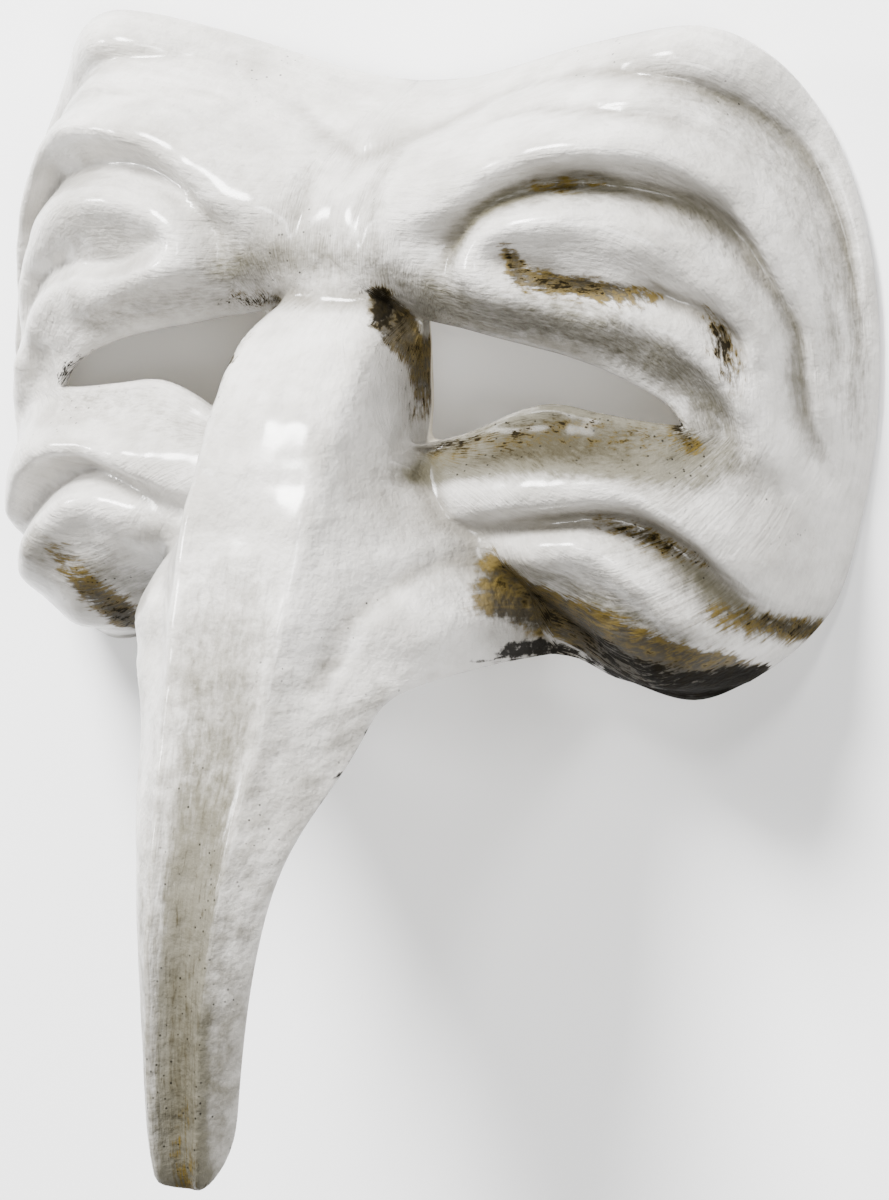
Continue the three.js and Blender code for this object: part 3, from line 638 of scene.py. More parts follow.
# Where the old paint stays dark: a path, its strength along the path, its half widths on both
# sides and, where a patch has a firm border, the power of its edge. The other side is the wearer's
# right.
DARK_PAINT = {
    "valley under the lower cheek ridge": (
        [(33, -43), (36, -50), (42, -55), (52, -60), (62, -64)], [0.32, 0.46, 0.56, 0.68, 0.9],
        [3, 5, 5.4, 5], [2.6, 4, 7, 7], 3),
    "lower edge of the valley": (
        [(34, -57.5), (40, -60.5), (47, -64), (54, -68), (61, -67), (67, -63.5)],
        [0.8, 0.6, 0.9, 1.3, 1.4, 1.2], [2, 2.5, 4, 4], [3, 3, 4, 4], 3),
    "recess beside the nose": (
        [(9, 2.2), (12.7, -3), (14.8, -8), (15.6, -14), (16, -20)], [0.66, 0.5, 0.3, 0.3, 0.3],
        [3, 1.6, 0.9, 0.8], [1.9, 1.3, 0.6, 0.4], 3),
    "lid groove": (
        [(34.5, 11), (36, 7.4), (40, 5.9), (47, 5.4), (54, 4)], [0.4, 0.46, 0.5, 0.46, 0.2], [1.5],
        [1.4], 3),
    "deep groove spot": ([(36, 22.4), (40, 22), (45, 22.4)], [0.2, 0.45, 0.2], [1.2], [1]),
    "outer corner spot": ([(64, 0.6), (66.2, -4), (68.4, -11)], [0.35, 0.62, 0.3], [1.2], [1]),
    "eye corner": ([(57.5, -16.4), (60.5, -19), (61.5, -21)], [0.55, 0.7, 0.4], [1.4], [1.4]),
    "under the inner eye": (
        [(18.6, -23.4), (22, -22.4), (28, -20.4)], [0.5, 0.56, 0.4], [1.4], [1.8]),
    "under the eye": (
        [(26, -22), (34, -20), (44, -18), (54, -19.6)], [0.36, 0.36, 0.32, 0.28], [3], [4], 3),
    "cheek crease": ([(47, -33.4), (54.8, -36.1), (64, -41)], [0.2, 0.6, 0.45], [0.9], [1.1]),
    "groove end": ([(69, -49.6), (72.5, -53.2), (75, -56)], [0.3, 0.5, 0.5], [1.4], [1.6]),
    "other cheek": ([(-54, -53), (-51, -58), (-48, -62)], [0.2, 0.42, 0.6], [3], [3]),
    "other lid corner": ([(-60, -17), (-56.5, -13.6), (-50, -11)], [0.7, 0.45, 0.2], [1.2], [1.6]),
    "other root": ([(-22, 0), (-16, 0.6), (-12, 0.5)], [0.35, 0.5, 0.55], [1.6], [2]),
    "other recess": ([(-12.2, -2), (-13.4, -10), (-16, -21)], [0.9, 0.7, 0.3], [2.2], [2.2]),
    "brow rim mark": ([(5.6, 37.6), (7.6, 37.8)], [1, 1], [0.7], [0.7]),
    "wing's lower edge": (
        [(33, -59.4), (26, -61.6), (21.5, -67), (18, -76), (13.6, -88.5)], [0.4, 0.3, 0.5, 0.36, 0],
        [0.9], [0.9]),
    "root corner": ([(7.5, 3.6), (9.4, 1.6), (10.5, -0.5)], [0.6, 0.9, 0.8], [1.4], [1.5]),
}
BROWN_WASH = {
    "valley": (
        [(31, -41), (34.5, -47.5), (41.5, -53), (52, -58), (64, -61)], [0.7, 1, 1.3, 1.35, 1.2],
        [3, 5.6, 7.4, 7.4, 6], [2.8, 4.6, 7, 8, 8], 4),
    "recess": (
        [(9, 2.2), (13.1, -3), (15.2, -8), (15.9, -14), (16.4, -20)], [0.9, 1, 0.9, 0.8, 0.8],
        [3, 1.4, 0.6, 0.5], [1.9, 1.1, 0.4, 0.3], 3),
    "under the eye": (
        [(20, -25), (30, -21.5), (44, -18.8), (57, -20.4)], [0.4, 0.42, 0.42, 0.34], [2, 3.4],
        [2, 3.4], 3),
    "lid groove": ([(34, 12), (36.4, 7.2), (46, 5.4), (56, 3.6)], [0.7, 0.95, 1.05, 0.6], [2], [2]),
    "deep groove": ([(34.5, 21.6), (40, 22.2), (47, 22.6)], [0.5, 0.8, 0.4], [1.6], [1.3]),
    "under the inner eye": ([(18.8, -23.8), (23, -22.2), (30, -20)], [0.6, 0.6, 0.4], [1.4], [2]),
    "tip of the beak": (
        [(1, -120), (1, -132), (0.6, -141)], [0.1, 0.4, 0.55], [2.6, 3.4], [2.6, 3.4]),
    "groove end": ([(67, -49), (75, -55.6)], [0.6, 0.95], [2.2], [2.4]),
    "outer corner": ([(63.6, 2), (66.4, -4.4), (69, -12)], [0.5, 0.8, 0.5], [1.6], [1.4]),
    "other cheek": ([(-55, -49), (-51, -56), (-48, -62)], [0.5, 0.8, 1], [4], [4], 3),
    "cheek crease": ([(47, -33), (55, -36.2), (64.4, -41)], [0.4, 0.8, 0.55], [1.5], [1.5]),
    "eye corner": ([(57, -16), (62, -21.5)], [0.6, 0.7], [2], [2]),
    "other root": ([(-20, 1), (-12.4, 0.6)], [0.45, 0.7], [2.2], [2.4]),
    "other recess": ([(-12.4, -2), (-14, -12), (-16.4, -22)], [0.9, 0.8, 0.4], [2.6], [2.4]),
}
# The olive grey wash. The strokes marked below as painted shade stand for shade in grooves, under
# ridges and down the beak.
GREY_WASH_AND_SHADE = {
    "trough of the beak": (
        [(0, -46), (0.3, -66), (0.8, -92), (1, -116), (1, -141)], [0.34, 0.66, 1.05, 1.2, 1.16],
        [10, 8, 6.2, 5.8, 5], [9, 7, 5.6, 5, 5], 5),
    # Painted shade: the back of the beak grows darker towards its tip.
    "back of the beak": (
        [(0, -60), (0, -80), (0, -110), (0, -143)], [0.3, 0.5, 0.62, 0.6], [14, 12, 10],
        [14, 12, 10], 6),
    "eyelid": (
        [(18, 1), (34, 0), (48, -2), (60, -9)], [0.6, 0.62, 0.72, 0.7], [4.5, 6.5, 6.5, 4.5], [5],
        3),
    "lid, outer side": ([(58, -6), (64.5, -14), (68, -24)], [0.7, 0.65, 0.4], [4], [4], 3),
    "under the eye": (
        [(20.5, -26.4), (27, -24), (40, -21), (54, -22), (64, -25)], [1.05, 1.4, 1.5, 1.2, 0.8],
        [4, 7.4, 7], [3, 5, 4.6], 3),
    "root of the nose": ([(-20, 6), (-6, 9), (8, 9)], [0.75, 0.6, 0.5], [5], [5]),
    "inner end of the eyelid": ([(10, 6), (20, 4), (32, 2)], [0.6, 0.7, 0.55], [4], [4]),
    "other eyelid": ([(-18, 1), (-34, -1), (-50, -6)], [0.45, 0.3, 0.35], [3], [4]),
    "other under the eye": ([(-20, -25), (-38, -19.6), (-56, -20)], [0.4, 0.3, 0.35], [4], [3]),
    # Painted shade on the downward side of the lower cheek ridge.
    "valley's upper side": ([(35, -41.5), (48, -46.5), (62, -54)], [0.4, 0.75, 0.6], [3, 4], [6]),
    "other cheek": ([(-40, -54), (-52, -52), (-60, -48)], [0.5, 0.6, 0.45], [5], [6]),
    # Painted shade in the crease over the wing.
    "crease over the wing": (
        [(24, -42), (19, -46.5), (15.5, -54), (13.5, -63)], [0.15, 0.3, 0.34, 0.2], [2], [2.6]),
    "nose's right edge": (
        [(23, -60), (17.5, -72), (12, -92), (10, -110)], [0.3, 0.4, 0.3, 0.1], [1.4], [3]),
    "nose's left edge": ([(-22, -62), (-16, -78), (-12, -96)], [0.3, 0.3, 0.1], [3], [1.4]),
    "frown": ([(-8, 10), (-7, 22)], [0.35, 0.3], [3], [3]),
    "other frown": ([(9, 11), (7, 25)], [0.5, 0.3], [3], [3]),
    # Painted shade in the forehead groove.
    "forehead groove": ([(52, 39), (62, 35.4), (70, 28), (76, 17)], [0.3, 0.5, 0.5, 0.3], [3], [3]),
    "deep groove": (
        [(22, 8), (28, 17.4), (40, 22), (54, 20.8), (66, 13.8), (73, 2)],
        [0.5, 0.75, 0.7, 0.6, 0.45, 0.3], [2.2], [2.2]),
    "cheek groove": (
        [(36, -35.6), (46, -34), (60, -40), (71, -52), (76, -56)], [0.1, 0.3, 0.5, 0.9, 0.9], [2],
        [2.6]),
    # Painted shade under the lower cheek ridge.
    "lower cheek ridge": ([(44, -41), (56, -44.6), (66, -54)], [0.25, 0.4, 0.3], [3], [4]),
    # Painted shade in the grooves of the temple.
    "temple, forehead groove": (
        [(62, 36), (69, 30), (74, 23), (78, 14), (80.5, 4), (82, -8), (82, -22)],
        [0.05, 0.15, 0.25, 0.4, 0.5, 0.5, 0.3], [1.4], [1.4]),
    "temple, brow groove": (
        [(55, 33), (61, 30.5), (67, 26), (72, 20), (75.3, 14), (78, 6), (79.3, -3), (80, -14)],
        [0.05, 0.1, 0.2, 0.3, 0.4, 0.45, 0.45, 0.3], [1.2], [1.2]),
    "temple, inner groove": (
        [(66, 13.8), (70, 8), (73, 2), (75, -4), (75.3, -11), (76, -18), (78, -25)],
        [0.3, 0.4, 0.45, 0.5, 0.5, 0.45, 0.3], [1.4], [1.4]),
}


def painted(x, y, marks):
    """How strongly a wash covers each point: the strongest of its strokes there."""
    strongest = np.zeros(x.shape)
    for mark in marks.values():
        strongest = np.maximum(strongest, stroke(x, y, *mark))
    return strongest


def eased(far, begins, over):
    """Rises smoothly from 0 where far is begins to 1 after over more."""
    t = np.clip((far - begins) / over, 0, 1)
    return t * t * (3 - 2 * t)


def cheek_lifted(points):
    """The points with the wearer's right cheek moved up."""
    lift = CHEEK_LIFT * eased(-points[:, 0], *LIFT_OUTWARD) * eased(-points[:, 1], *LIFT_DOWN)
    return points + lift[:, None] * [0, 1, 0]


def build_shell():
    """The shell as one closed mesh: both skins, joined by rounded edges all round.

    Returns its points in metres, its faces, how each face corner lies for the brush marks, and one
    value per point for each wash and for the painted shade of the grooves and hollows.
    """
    (face, nose), (face_in, nose_in), rim_count = skins()
    whole_nose = np.hstack([mirrored(nose[:, :0:-1]), nose])
    whole_nose_in = np.hstack([mirrored(nose_in[:, :0:-1]), nose_in])
    sheets = [
        (face, face_in, True, False), (mirrored(face), mirrored(face_in), True, True),
        (whole_nose, whole_nose_in, False, False),
    ]
    places, insides, faces, runs, rims = [], [], [], [], []
    start = 0
    for outer, inner, closed, flipped in sheets:
        quads = quads_of(outer.shape, closed)
        run = run_of(outer, closed, not closed)
        if not flipped:
            quads, run = quads[:, ::-1], run[:, ::-1]
        faces.append(quads + start)
        runs.append(run)
        on_rim = np.zeros(outer.shape[:2], bool)
        if closed:
            on_rim[-1, outer.shape[1] - rim_count:] = True
            on_rim[-1, 0] = True
            on_rim[-1, outer.shape[1] - rim_count] = False
        rims.append(on_rim.ravel())
        places.append(outer.reshape(-1, 2))
        insides.append(inner.reshape(-1, 2))
        start += outer.shape[0] * outer.shape[1]
    places, insides = np.vstack(places), np.vstack(insides)
    faces, runs, rims = np.vstack(faces), np.vstack(runs), np.concatenate(rims)
    key = np.round(places / SAME_PLACE).astype(int)
    _, first, back = np.unique(key, axis=0, return_index=True, return_inverse=True)
    back = back.ravel()
    faces, places, insides, rims = back[faces], places[first], insides[first], rims[first]
    four_sided = (np.diff(np.sort(faces, axis=1), axis=1) > 0).all(axis=1)
    faces, runs = faces[four_sided], runs[four_sided]

    field = Field()
    x, y = places.T
    z = outside_height(x, y)
    depth, rim_height = near_rim(np.abs(x), y)
    z = np.where(rims, soft_max(rim_height, nose_height(np.abs(x), y), JOIN), z)
    share = np.clip(depth / LUMPS_WHOLE, 0, 1)
    z = z + lumps(x, y) * np.where(y < BEAK_LUMPS[0], BEAK_LUMPS[1], share)
    z_in = field.inside(*insides.T)
    z_in = np.where(rims, z, z_in)
    outside = np.column_stack([places, z])
    inside = np.column_stack([insides, z_in])

    count = len(places)
    edges = np.stack([faces, np.roll(faces, -1, axis=1)], axis=2).reshape(-1, 2)
    key = edges[:, 0] * count + edges[:, 1]
    free = edges[~np.isin(key, edges[:, 1] * count + edges[:, 0])]
    on_edge = np.unique(free)
    t = np.linspace(0, 1, EDGE_STEPS + 1)[1:-1, None, None]
    wall = outside[on_edge] * (1 - t) + inside[on_edge] * t
    points = np.vstack([outside, inside, wall.reshape(-1, 3)])
    number = np.full(count, -1)
    number[on_edge] = np.arange(len(on_edge))
    between = [2 * count + k * len(on_edge) + number[free] for k in range(EDGE_STEPS - 1)]
    rungs = [free, *between, free + count]
    strip_faces = np.vstack([
        np.stack([a[:, 1], a[:, 0], b[:, 0], b[:, 1]], axis=1) for a, b in zip(rungs, rungs[1:])
    ])
    corners = points[strip_faces]
    strip_run = np.stack([corners[..., 0] + corners[..., 1], corners[..., 2]], axis=2)
    all_faces = np.vstack([faces, faces[:, ::-1] + count, strip_faces])
    all_runs = np.vstack([runs, runs[:, ::-1], strip_run])
    sharp = np.concatenate([on_edge, on_edge + count])
    is_inside = np.arange(len(points)) // count == 1
    points = rounded_edges(points, all_faces, sharp, np.where(is_inside, INSIDE_SOFTNESS, 0))
    points = cheek_lifted(points) + FRAME_SHIFT
    points[:, 2] = np.maximum(points[:, 2], OFF_THE_FLOOR)

    kind = np.concatenate([np.zeros(count), np.ones(count), np.repeat(t.ravel(), len(on_edge))])
    at = np.concatenate([np.arange(count), np.arange(count), np.tile(on_edge, EDGE_STEPS - 1)])
    hollow = field.hollows(x, y, GROOVE_REACH) / GROOVE_DEPTH
    valley = field.hollows(x, y, VALLEY_REACH) / VALLEY_DEPTH
    lighter_grooves = 1 - LIGHTER_GROOVES_SIDE * eased(-x, *LIGHTER_GROOVES_FROM)
    marks = {
        "dark_paint": painted(x, y, DARK_PAINT),
        "brown_wash": painted(x, y, BROWN_WASH),
        "grey_wash": painted(x, y, GREY_WASH_AND_SHADE),
        # groove and valley: painted shade and dirt in the narrow grooves, painted shade with a thin
        # glaze in the wide hollows.
        "groove": np.clip(hollow, 0, 1) * lighter_grooves,
        "valley": np.clip(valley, 0, 1) * lighter_grooves,
        # crest: painted light on the ridges, which also come out a little glossier.
        "crest": np.clip(-hollow, 0, 1),
    }
    values = {name: mark[at] for name, mark in marks.items()}
    values["inner_skin"] = kind
    return points / 1000, all_faces, all_runs / 1000, values


def new_mesh(name, points, faces, runs, values):
    """A mesh object at the origin, with a run map and one value per point for each wash, painted shade
    and painted light.
    """
    mesh = bpy.data.meshes.new(name)
    mesh.vertices.add(len(points))
    mesh.vertices.foreach_set("co", points.astype(np.float32).ravel())
    mesh.loops.add(faces.size)
    mesh.loops.foreach_set("vertex_index", faces.astype(np.int32).ravel())
    mesh.polygons.add(len(faces))
    mesh.polygons.foreach_set("loop_start", np.arange(0, faces.size, 4, dtype=np.int32))
    mesh.update(calc_edges=True)
    mesh.validate()
    mesh.polygons.foreach_set("use_smooth", np.ones(len(mesh.polygons), bool))
    layer = mesh.uv_layers.new(name="run")
    layer.data.foreach_set("uv", runs.astype(np.float32).ravel())
    for label, value in values.items():
        attribute = mesh.attributes.new(label, "FLOAT", "POINT")
        attribute.data.foreach_set("value", value.astype(np.float32))
    mesh.update()
    piece = bpy.data.objects.new(name, mesh)
    bpy.context.scene.collection.objects.link(piece)
    return piece


class Value:
    """A socket that carries a number. The usual operators between two of them add Math nodes."""

    def __init__(self, shade, socket):
        self.shade = shade
        self.socket = socket

    def _math(self, operation, *others):
        """One Math node with this value first."""
        inputs = dict(enumerate([self, *others]))
        node = self.shade.node("ShaderNodeMath", {"operation": operation}, inputs)
        return Value(self.shade, node.outputs[0])

    def __add__(self, other):
        return self._math("ADD", other)

    __radd__ = __add__

    def __mul__(self, other):
        return self._math("MULTIPLY", other)

    __rmul__ = __mul__

    def __sub__(self, other):
        return self._math("SUBTRACT", other)

    def __rsub__(self, other):
        return (self * -1)._math("ADD", other)

    def highest(self, other):
        """The higher of the two."""
        return self._math("MAXIMUM", other)

    def lowest(self, other):
        """The lower of the two."""
        return self._math("MINIMUM", other)

    def clamped(self):
        """The value, held between 0 and 1."""
        return self.highest(0.0).lowest(1.0)

    def ramp(self, low, high):
        """Rises smoothly from 0 at low to 1 at high."""
        node = self.shade.node(
            "ShaderNodeMapRange", {"interpolation_type": "SMOOTHSTEP"},
            {"Value": self.socket, "From Min": low, "From Max": high, "To Min": 0.0, "To Max": 1.0})
        return Value(self.shade, node.outputs[0])


class Shade:
    """One material's nodes."""

    def __init__(self, name):
        self.material = bpy.data.materials.new(name)
        self.material.use_nodes = True
        self.tree = self.material.node_tree
        self.tree.nodes.clear()
        self.output = self.node("ShaderNodeOutputMaterial", {}, {})
        self.surface = self.node("ShaderNodeBsdfPrincipled", {}, {})
        self.tree.links.new(self.surface.outputs[0], self.output.inputs["Surface"])
        self.place = self.node("ShaderNodeTexCoord", {}, {}).outputs["Object"]
        self.run = self.node("ShaderNodeUVMap", {"uv_map": "run"}, {}).outputs["UV"]

    def fill(self, socket, value):
        """Links a value to a socket, or writes it there where it is a plain number or colour."""
        if isinstance(value, Value):
            value = value.socket
        if isinstance(value, bpy.types.NodeSocket):
            self.tree.links.new(value, socket)
        else:
            socket.default_value = value

    def node(self, kind, settings, inputs):
        """Adds a node: its settings first, then a value or a link for each named socket."""
        node = self.tree.nodes.new(kind)
        for name, value in settings.items():
            setattr(node, name, value)
        for key, value in inputs.items():
            self.fill(node.inputs[key], value)
        return node

    def attribute(self, name):
        """A value that each point carries."""
        settings = {"attribute_type": "GEOMETRY", "attribute_name": name}
        return Value(self, self.node("ShaderNodeAttribute", settings, {}).outputs["Fac"])

    def stretched(self, vector, scale):
        """A place with each of its parts multiplied."""
        return self.node("ShaderNodeMapping", {}, {"Vector": vector, "Scale": scale}).outputs[0]

    def noise(self, scale, detail=4.0, rough=0.55, vector=None, bent=0.0):
        """Cloudy noise from 0 to 1, scale waves to the metre where no place is given."""
        node = self.node("ShaderNodeTexNoise", {}, {
            "Vector": vector or self.place, "Scale": scale, "Detail": detail, "Roughness": rough,
            "Distortion": bent})
        return Value(self, node.outputs[0])

    def cells(self, scale):
        """How far the nearest of many scattered dots lies, scale dots to the metre."""
        node = self.node("ShaderNodeTexVoronoi", {"feature": "F1"}, {
            "Vector": self.place, "Scale": scale, "Randomness": 1.0})
        return Value(self, node.outputs["Distance"])

    def mixed(self, amount, a, b):
        """The colour a where amount is 0 and b where it is 1."""
        settings = {"data_type": "RGBA", "clamp_factor": True}
        node = self.node("ShaderNodeMix", settings, {0: amount, 6: a, 7: b})
        return node.outputs[2]

    def set(self, name, value):
        """Gives one of the surface's sockets a value."""
        self.fill(self.surface.inputs[name], value)

    def bump(self, height, strength, distance, under=None):
        """The surface's direction tilted by a height, over the tilt of the coarser one under it."""
        inputs = {"Height": height, "Strength": strength, "Distance": distance}
        if under is not None:
            inputs["Normal"] = under
        return self.node("ShaderNodeBump", {}, inputs).outputs[0]


def colour(rgb):
    """Red, green and blue with full cover."""
    return (*rgb, 1.0)


def painted_paper(sizes):
    """Glossy warm white paint, worn brown and black in the grooves, greyed with painted shade and dirt
    in the grooves and hollows, and bare paper inside.
    """
    s = Shade("painted_paper")
    dark = s.attribute("dark_paint")
    brown = s.attribute("brown_wash")
    grey = s.attribute("grey_wash")
    groove = s.attribute("groove")
    valley = s.attribute("valley")
    crest = s.attribute("crest")
    inner = s.attribute("inner_skin").ramp(0.8, 0.97)

    bristle = s.noise(1.0, 3.0, 0.6, s.stretched(s.run, (90.0, 1300.0, 1.0)), 0.3)
    streak = s.noise(1.0, 4.0, 0.65, s.stretched(s.run, (230.0, 2300.0, 1.0)), 0.4)
    cloud = s.noise(55.0, 4.0)
    patch = s.noise(240.0, 5.0, 0.62)
    blot = s.noise(430.0, 4.0, 0.6)
    grain = s.noise(1500.0, 3.0, 0.6)

    # Each wash covers where its strength beats a mix of brush streaks and blots.
    rag = (streak * 0.5 + patch * 0.2 + blot * 0.3 - 0.5) * 3.8
    dark_mask = (dark + rag).ramp(0.42, 0.68) * dark.ramp(0.06, 0.26)
    brown_mask = (brown + rag * 0.7).ramp(0.3, 0.72) * brown.ramp(0.05, 0.25)
    grey_wash_and_shade_mask = (grey + rag * 0.4).ramp(0.0, 0.9) * grey.ramp(0.03, 0.2)
    speck = s.cells(620.0)
    where = s.noise(34.0, 2.0) + grey * 0.22 + brown * 0.12
    fleck = (1.0 - speck.ramp(0.08, 0.17)) * where.ramp(0.6, 0.7)

    white = s.mixed(cloud.ramp(0.35, 0.7), colour(sizes.paint), colour(sizes.paint_shade))
    thin = (bristle * 0.6 + blot * 0.4).ramp(0.42, 0.7)
    white = s.mixed(thin * 0.5, white, colour(sizes.paint_shade))
    # A grey haze in random patches, kept thinner on the crests of the folds: painted light on the
    # ridges.
    haze_and_crest_light = (s.noise(24.0, 3.0) * 0.7 + patch * 0.5 - crest * 0.2).ramp(0.5, 0.85)
    white = s.mixed(haze_and_crest_light * 0.35, white, colour(sizes.shade_and_haze_grey))
    # Painted shade, with a thin grey glaze, across the wide hollows.
    valley_shade_and_glaze = (valley * 1.1 + cloud * 0.4 - 0.3).clamped()
    white = s.mixed(valley_shade_and_glaze * 0.55, white, colour(sizes.shade_and_haze_grey))
    # Painted shade and dirt in the narrow grooves, lighter on the wearer's right side.
    groove_shade_and_dirt = (groove + patch * 0.5 - 0.4).clamped()
    white = s.mixed(groove_shade_and_dirt * 0.7, white, colour(sizes.groove_shade_and_dirt_tint))
    # The olive grey wash. Some of its strokes are painted shade in grooves, under ridges and down the
    # beak.
    tinted = s.mixed(grey_wash_and_shade_mask * 0.9, white, colour(sizes.grey))
    thick = (grey + rag * 0.35).ramp(0.9, 1.5)
    tinted = s.mixed(thick * 0.85, tinted, colour(sizes.deep))
    hair = (streak * 0.7 + blot * 0.3).ramp(0.55, 0.65) * grey.ramp(0.45, 1.0)
    tinted = s.mixed(hair * 0.5, tinted, colour(sizes.deep))
    lighter = (blot * 0.45 + streak * 0.55 - dark * 0.05).ramp(0.42, 0.56)
    ochre = s.mixed(lighter, colour(sizes.brown), colour(sizes.ochre))
    tinted = s.mixed(brown_mask * 0.9, tinted, ochre)
    tinted = s.mixed(dark_mask * 0.94, tinted, colour(sizes.dark))
    tinted = s.mixed(fleck * 0.85, tinted, colour(sizes.dark))

    pulp = s.noise(230.0, 6.0, 0.65)
    scrap = s.cells(62.0)
    bare = s.mixed(pulp.ramp(0.3, 0.75), colour(sizes.paper), colour(sizes.paper_shade))
    bare = s.mixed(scrap.ramp(0.35, 0.75) * 0.3, bare, colour(sizes.paper_shade))
    s.set("Base Color", s.mixed(inner, tinted, bare))

    stained = dark_mask.highest(brown_mask * 0.7).highest(grey_wash_and_shade_mask * 0.65)
    gloss = sizes.roughness + patch * 0.1 + bristle * 0.06 + stained * 0.4 - crest * 0.06
    s.set("Roughness", (gloss * (1.0 - inner) + inner * 0.86).clamped())
    s.set("Coat Weight", ((0.8 - stained * 1.1) * (1.0 - inner)).clamped())
    s.surface.inputs["Coat Roughness"].default_value = 0.19
    s.surface.inputs["Specular IOR Level"].default_value = 0.06

    swell = s.noise(150.0, 3.0)
    soft = s.bump(cloud * 0.5 + swell * 0.6 + patch * 0.25, 0.8, 0.0022)
    brushed = s.bump(bristle * 0.8 + streak * 0.4 + blot * 0.4, 0.6, 0.0006, soft)
    fine = s.bump(grain + pulp * inner * 3.0 + scrap * inner * 2.0, 0.5, 0.00025, brushed)
    s.set("Normal", fine)
    return s.material


def floor_paint(sizes):
    """A plain pale floor with a very faint grain."""
    s = Shade("pale_floor")
    speck = s.noise(9.0, 3.0)
    darker = colour([0.985 * part for part in sizes.floor])
    s.set("Base Color", s.mixed(speck, colour(sizes.floor), darker))
    s.surface.inputs["Roughness"].default_value = 0.8
    s.surface.inputs["Specular IOR Level"].default_value = 0.2
    return s.material


def tone(name, description, default):
    """One colour that the panel shows."""
    return bpy.props.FloatVectorProperty(
        name=name, description=description, default=default, size=3, subtype="COLOR", min=0, max=1)


def number(name, description, default, **more):
    """One number that the panel shows."""
    return bpy.props.FloatProperty(name=name, description=description, default=default, **more)


class HalfMaskShell(bpy.types.PropertyGroup):
    """The paint of the shell."""

    paint: tone("Paint", "The white paint where it is clean", (0.56, 0.54, 0.51))
    paint_shade: tone("Paint shade", "The white paint where it is thin", (0.36, 0.343, 0.312))
    # The grey of the painted shade in the wide hollows and of the random haze.
    shade_and_haze_grey: tone("Valley tint", "The thin grey glaze of the hollows", (0.19, 0.176, 0.148))
    # The colour of the painted shade and dirt in the narrow grooves.
    groove_shade_and_dirt_tint: tone("Groove tint", "What the grooves take on", (0.10, 0.088, 0.062))
    # The olive grey, also used for the strokes of painted shade among the wash.
    grey: tone("Grey wash", "The olive grey wash", (0.066, 0.059, 0.036))
    brown: tone("Brown wash", "The brown wash under the worn paint", (0.016, 0.0108, 0.0014))
    ochre: tone("Ochre", "The lighter patches of the brown wash", (0.086, 0.057, 0.0070))
    deep: tone("Deep wash", "Where the olive grey wash lies thickest", (0.024, 0.019, 0.008))
    dark: tone("Dark paint", "The near black left in the valleys", (0.0022, 0.0016, 0.0006))
    paper: tone("Bare paper", "The paper inside the mask", (0.62, 0.57, 0.47))
    paper_shade: tone("Bare paper shade", "Where scraps of it overlap", (0.47, 0.42, 0.33))
    roughness: number("Roughness", "Roughness of the clean paint", 0.3, min=0, max=1)


class HalfMaskStage(bpy.types.PropertyGroup):
    """The floor, the lights and the camera."""

    floor: tone("Floor", "The floor's colour", (0.92, 0.92, 0.92))
    floor_size: number("Floor size", "Side of the square floor", 6.0, unit="LENGTH")
    distance: number("Camera distance", "From camera to picture's middle", 0.85, unit="LENGTH")
    azimuth: number("Camera azimuth", "Turn towards the wearer's left", np.radians(25), subtype="ANGLE")
    elevation: number("Camera elevation", "Turn towards the forehead", np.radians(10), subtype="ANGLE")
    lens: number("Lens", "Focal length on a frame 36 mm high, in millimetres", 150.0)
    key: number("Key light", "Power of the light over the forehead", 92.0)
    fill: number("Fill light", "Power of the wide soft light", 18.0)
    shine: number("Shine light", "Power of the small light overhead", 6.0)
    edge: number("Edge light", "Power of the small light on the left", 13.0)
    world: number("Surround", "Strength of the light from all round", 0.36)


class MESH_OT_half_mask_shell(bpy.types.Operator):
    """Builds the mask's shell: a closed skin with all its folds, lumps and paint"""

    bl_idname = "mesh.half_mask_shell"
    bl_label = "Mask shell"

    def execute(self, context):
        sizes = context.scene.half_mask_shell
        piece = new_mesh("mask_shell_painted", *build_shell())
        piece.data.materials.append(painted_paper(sizes))
        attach(piece, "root")
        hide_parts("mask_shell")
        return {"FINISHED"}


# The picture's width and height, where the root of the nose lies in it, from its upper left corner,
# and the root's height in the shape functions' millimetres.
PICTURE = (889, 1200)
ROOT_IN_PICTURE = (318, 312)
ROOT_HEIGHT = 47
SENSOR = 36

# Each light's size, its place and the point that it faces, in metres.
LIGHTS = {
    "key": (0.5, (-0.3, 1.1, 0.8), (0, 0, 0.04)),
    "fill": (0.7, (0.8, 0.1, 1.3), (0, 0, 0.04)),
    "shine": (0.2, (0.2, 0.65, 1.05), (0, 0, 0.05)),
    "edge": (0.2, (-1.0, 0.35, 0.5), (0, 0, 0.05)),
}


def soft_light(name, power, size, place, target):
    """A round soft light that faces a point."""
    lamp = bpy.data.lights.new(name, "AREA")
    lamp.shape = "DISK"
    lamp.energy = power
    lamp.size = size
    light = bpy.data.objects.new(name, lamp)
    towards = Vector(target) - Vector(place)
    turn = towards.to_track_quat("-Z", "Y").to_matrix().to_4x4()
    light.matrix_world = Matrix.Translation(place) @ turn
    bpy.context.scene.collection.objects.link(light)


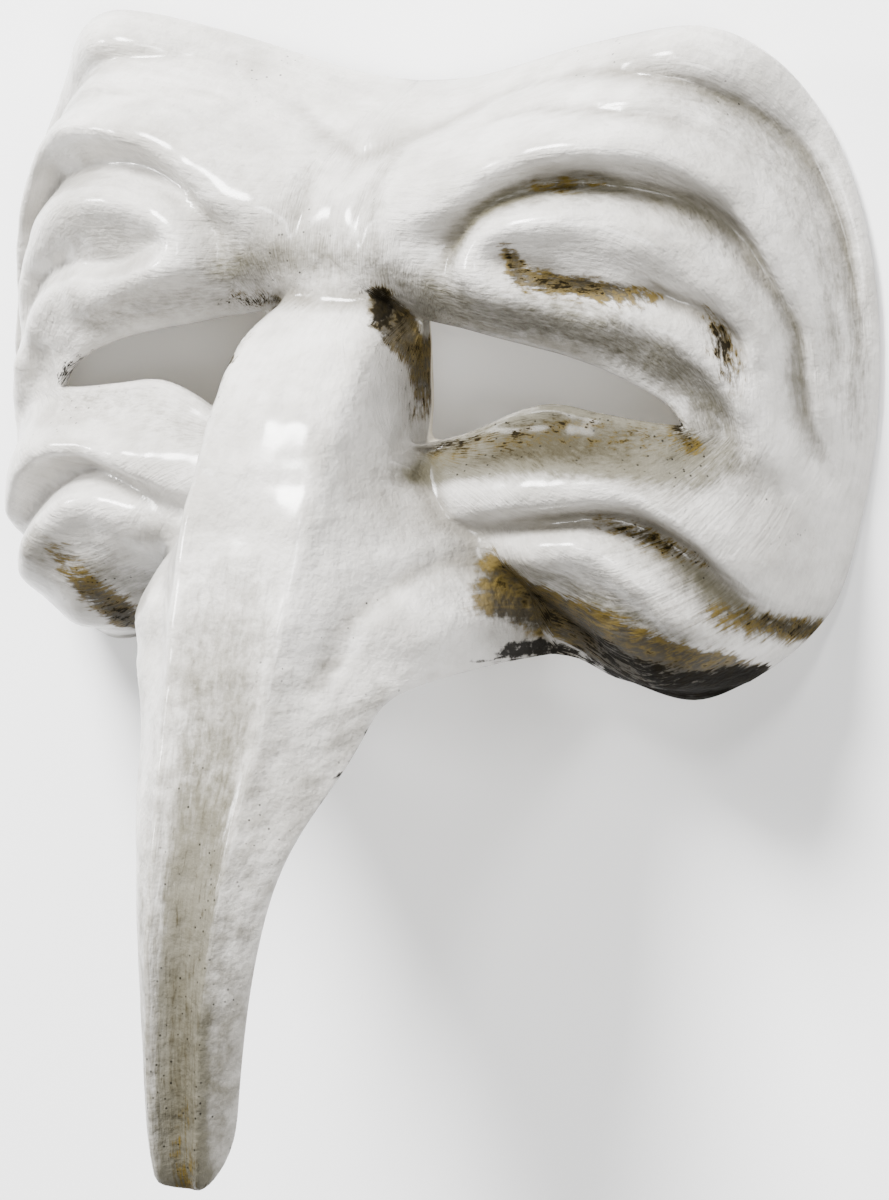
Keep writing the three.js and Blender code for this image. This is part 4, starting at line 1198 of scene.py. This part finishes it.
class MESH_OT_half_mask_stage(bpy.types.Operator):
    """Sets the floor, the soft lights and the camera"""

    bl_idname = "mesh.half_mask_stage"
    bl_label = "Stage"

    def execute(self, context):
        sizes = context.scene.half_mask_stage
        half = sizes.floor_size / 2
        mesh = bpy.data.meshes.new("floor")
        corners = [(-half, -half, 0), (half, -half, 0), (half, half, 0), (-half, half, 0)]
        mesh.from_pydata(corners, [], [(0, 1, 2, 3)])
        floor = bpy.data.objects.new("floor", mesh)
        context.scene.collection.objects.link(floor)
        floor.data.materials.append(floor_paint(sizes))

        root = (Vector(FRAME_SHIFT) + Vector((0, 0, ROOT_HEIGHT))) / 1000
        a, e = sizes.azimuth, sizes.elevation
        back = Vector((np.sin(a) * np.cos(e), np.sin(e), np.cos(a) * np.cos(e)))
        right = Vector((np.cos(a), 0, -np.sin(a)))
        up = back.cross(right)
        # The root of the nose sits left of the picture's middle and above it.
        pixel = sizes.distance / (PICTURE[1] * sizes.lens / SENSOR)
        across = (ROOT_IN_PICTURE[0] - PICTURE[0] / 2) * pixel
        above = (PICTURE[1] / 2 - ROOT_IN_PICTURE[1]) * pixel
        target = root - right * across - up * above
        place = target + back * sizes.distance
        camera = bpy.data.cameras.new("camera")
        camera.lens = sizes.lens
        camera.sensor_width = SENSOR
        view = bpy.data.objects.new("camera", camera)
        turn = Matrix((right, up, back)).transposed().to_4x4()
        view.matrix_world = Matrix.Translation(place) @ turn
        context.scene.collection.objects.link(view)
        context.scene.camera = view

        for name, light in LIGHTS.items():
            soft_light(name, getattr(sizes, name), *light)

        world = bpy.data.worlds.new("surround")
        world.use_nodes = True
        sky = next(node for node in world.node_tree.nodes if node.type == "BACKGROUND")
        sky.inputs[0].default_value = (1, 1, 1, 1)
        sky.inputs[1].default_value = sizes.world
        context.scene.world = world
        return {"FINISHED"}


class VIEW3D_PT_half_mask(bpy.types.Panel):
    """Lists the mask's pieces"""

    bl_label = "Half mask"
    bl_space_type = "VIEW_3D"
    bl_region_type = "UI"
    bl_category = "Half mask"

    def draw(self, context):
        layout = self.layout
        for title, group, operator in (
            ("Shell", context.scene.half_mask_shell, MESH_OT_half_mask_shell),
            ("Stage", context.scene.half_mask_stage, MESH_OT_half_mask_stage),
        ):
            box = layout.box()
            box.label(text=title)
            for name in group.__annotations__:
                box.prop(group, name)
            box.operator(operator.bl_idname)


CLASSES = (
    HalfMaskShell, HalfMaskStage, MESH_OT_half_mask_shell, MESH_OT_half_mask_stage,
    VIEW3D_PT_half_mask,
)


def register():
    for item in CLASSES:
        bpy.utils.register_class(item)
    bpy.types.Scene.half_mask_shell = bpy.props.PointerProperty(type=HalfMaskShell)
    bpy.types.Scene.half_mask_stage = bpy.props.PointerProperty(type=HalfMaskStage)


def unregister():
    del bpy.types.Scene.half_mask_shell
    del bpy.types.Scene.half_mask_stage
    for item in reversed(CLASSES):
        bpy.utils.unregister_class(item)


def main():
    register()
    bpy.ops.mesh.half_mask_stage()
    bpy.ops.mesh.half_mask_shell()


if __name__ == "__main__":
    main()
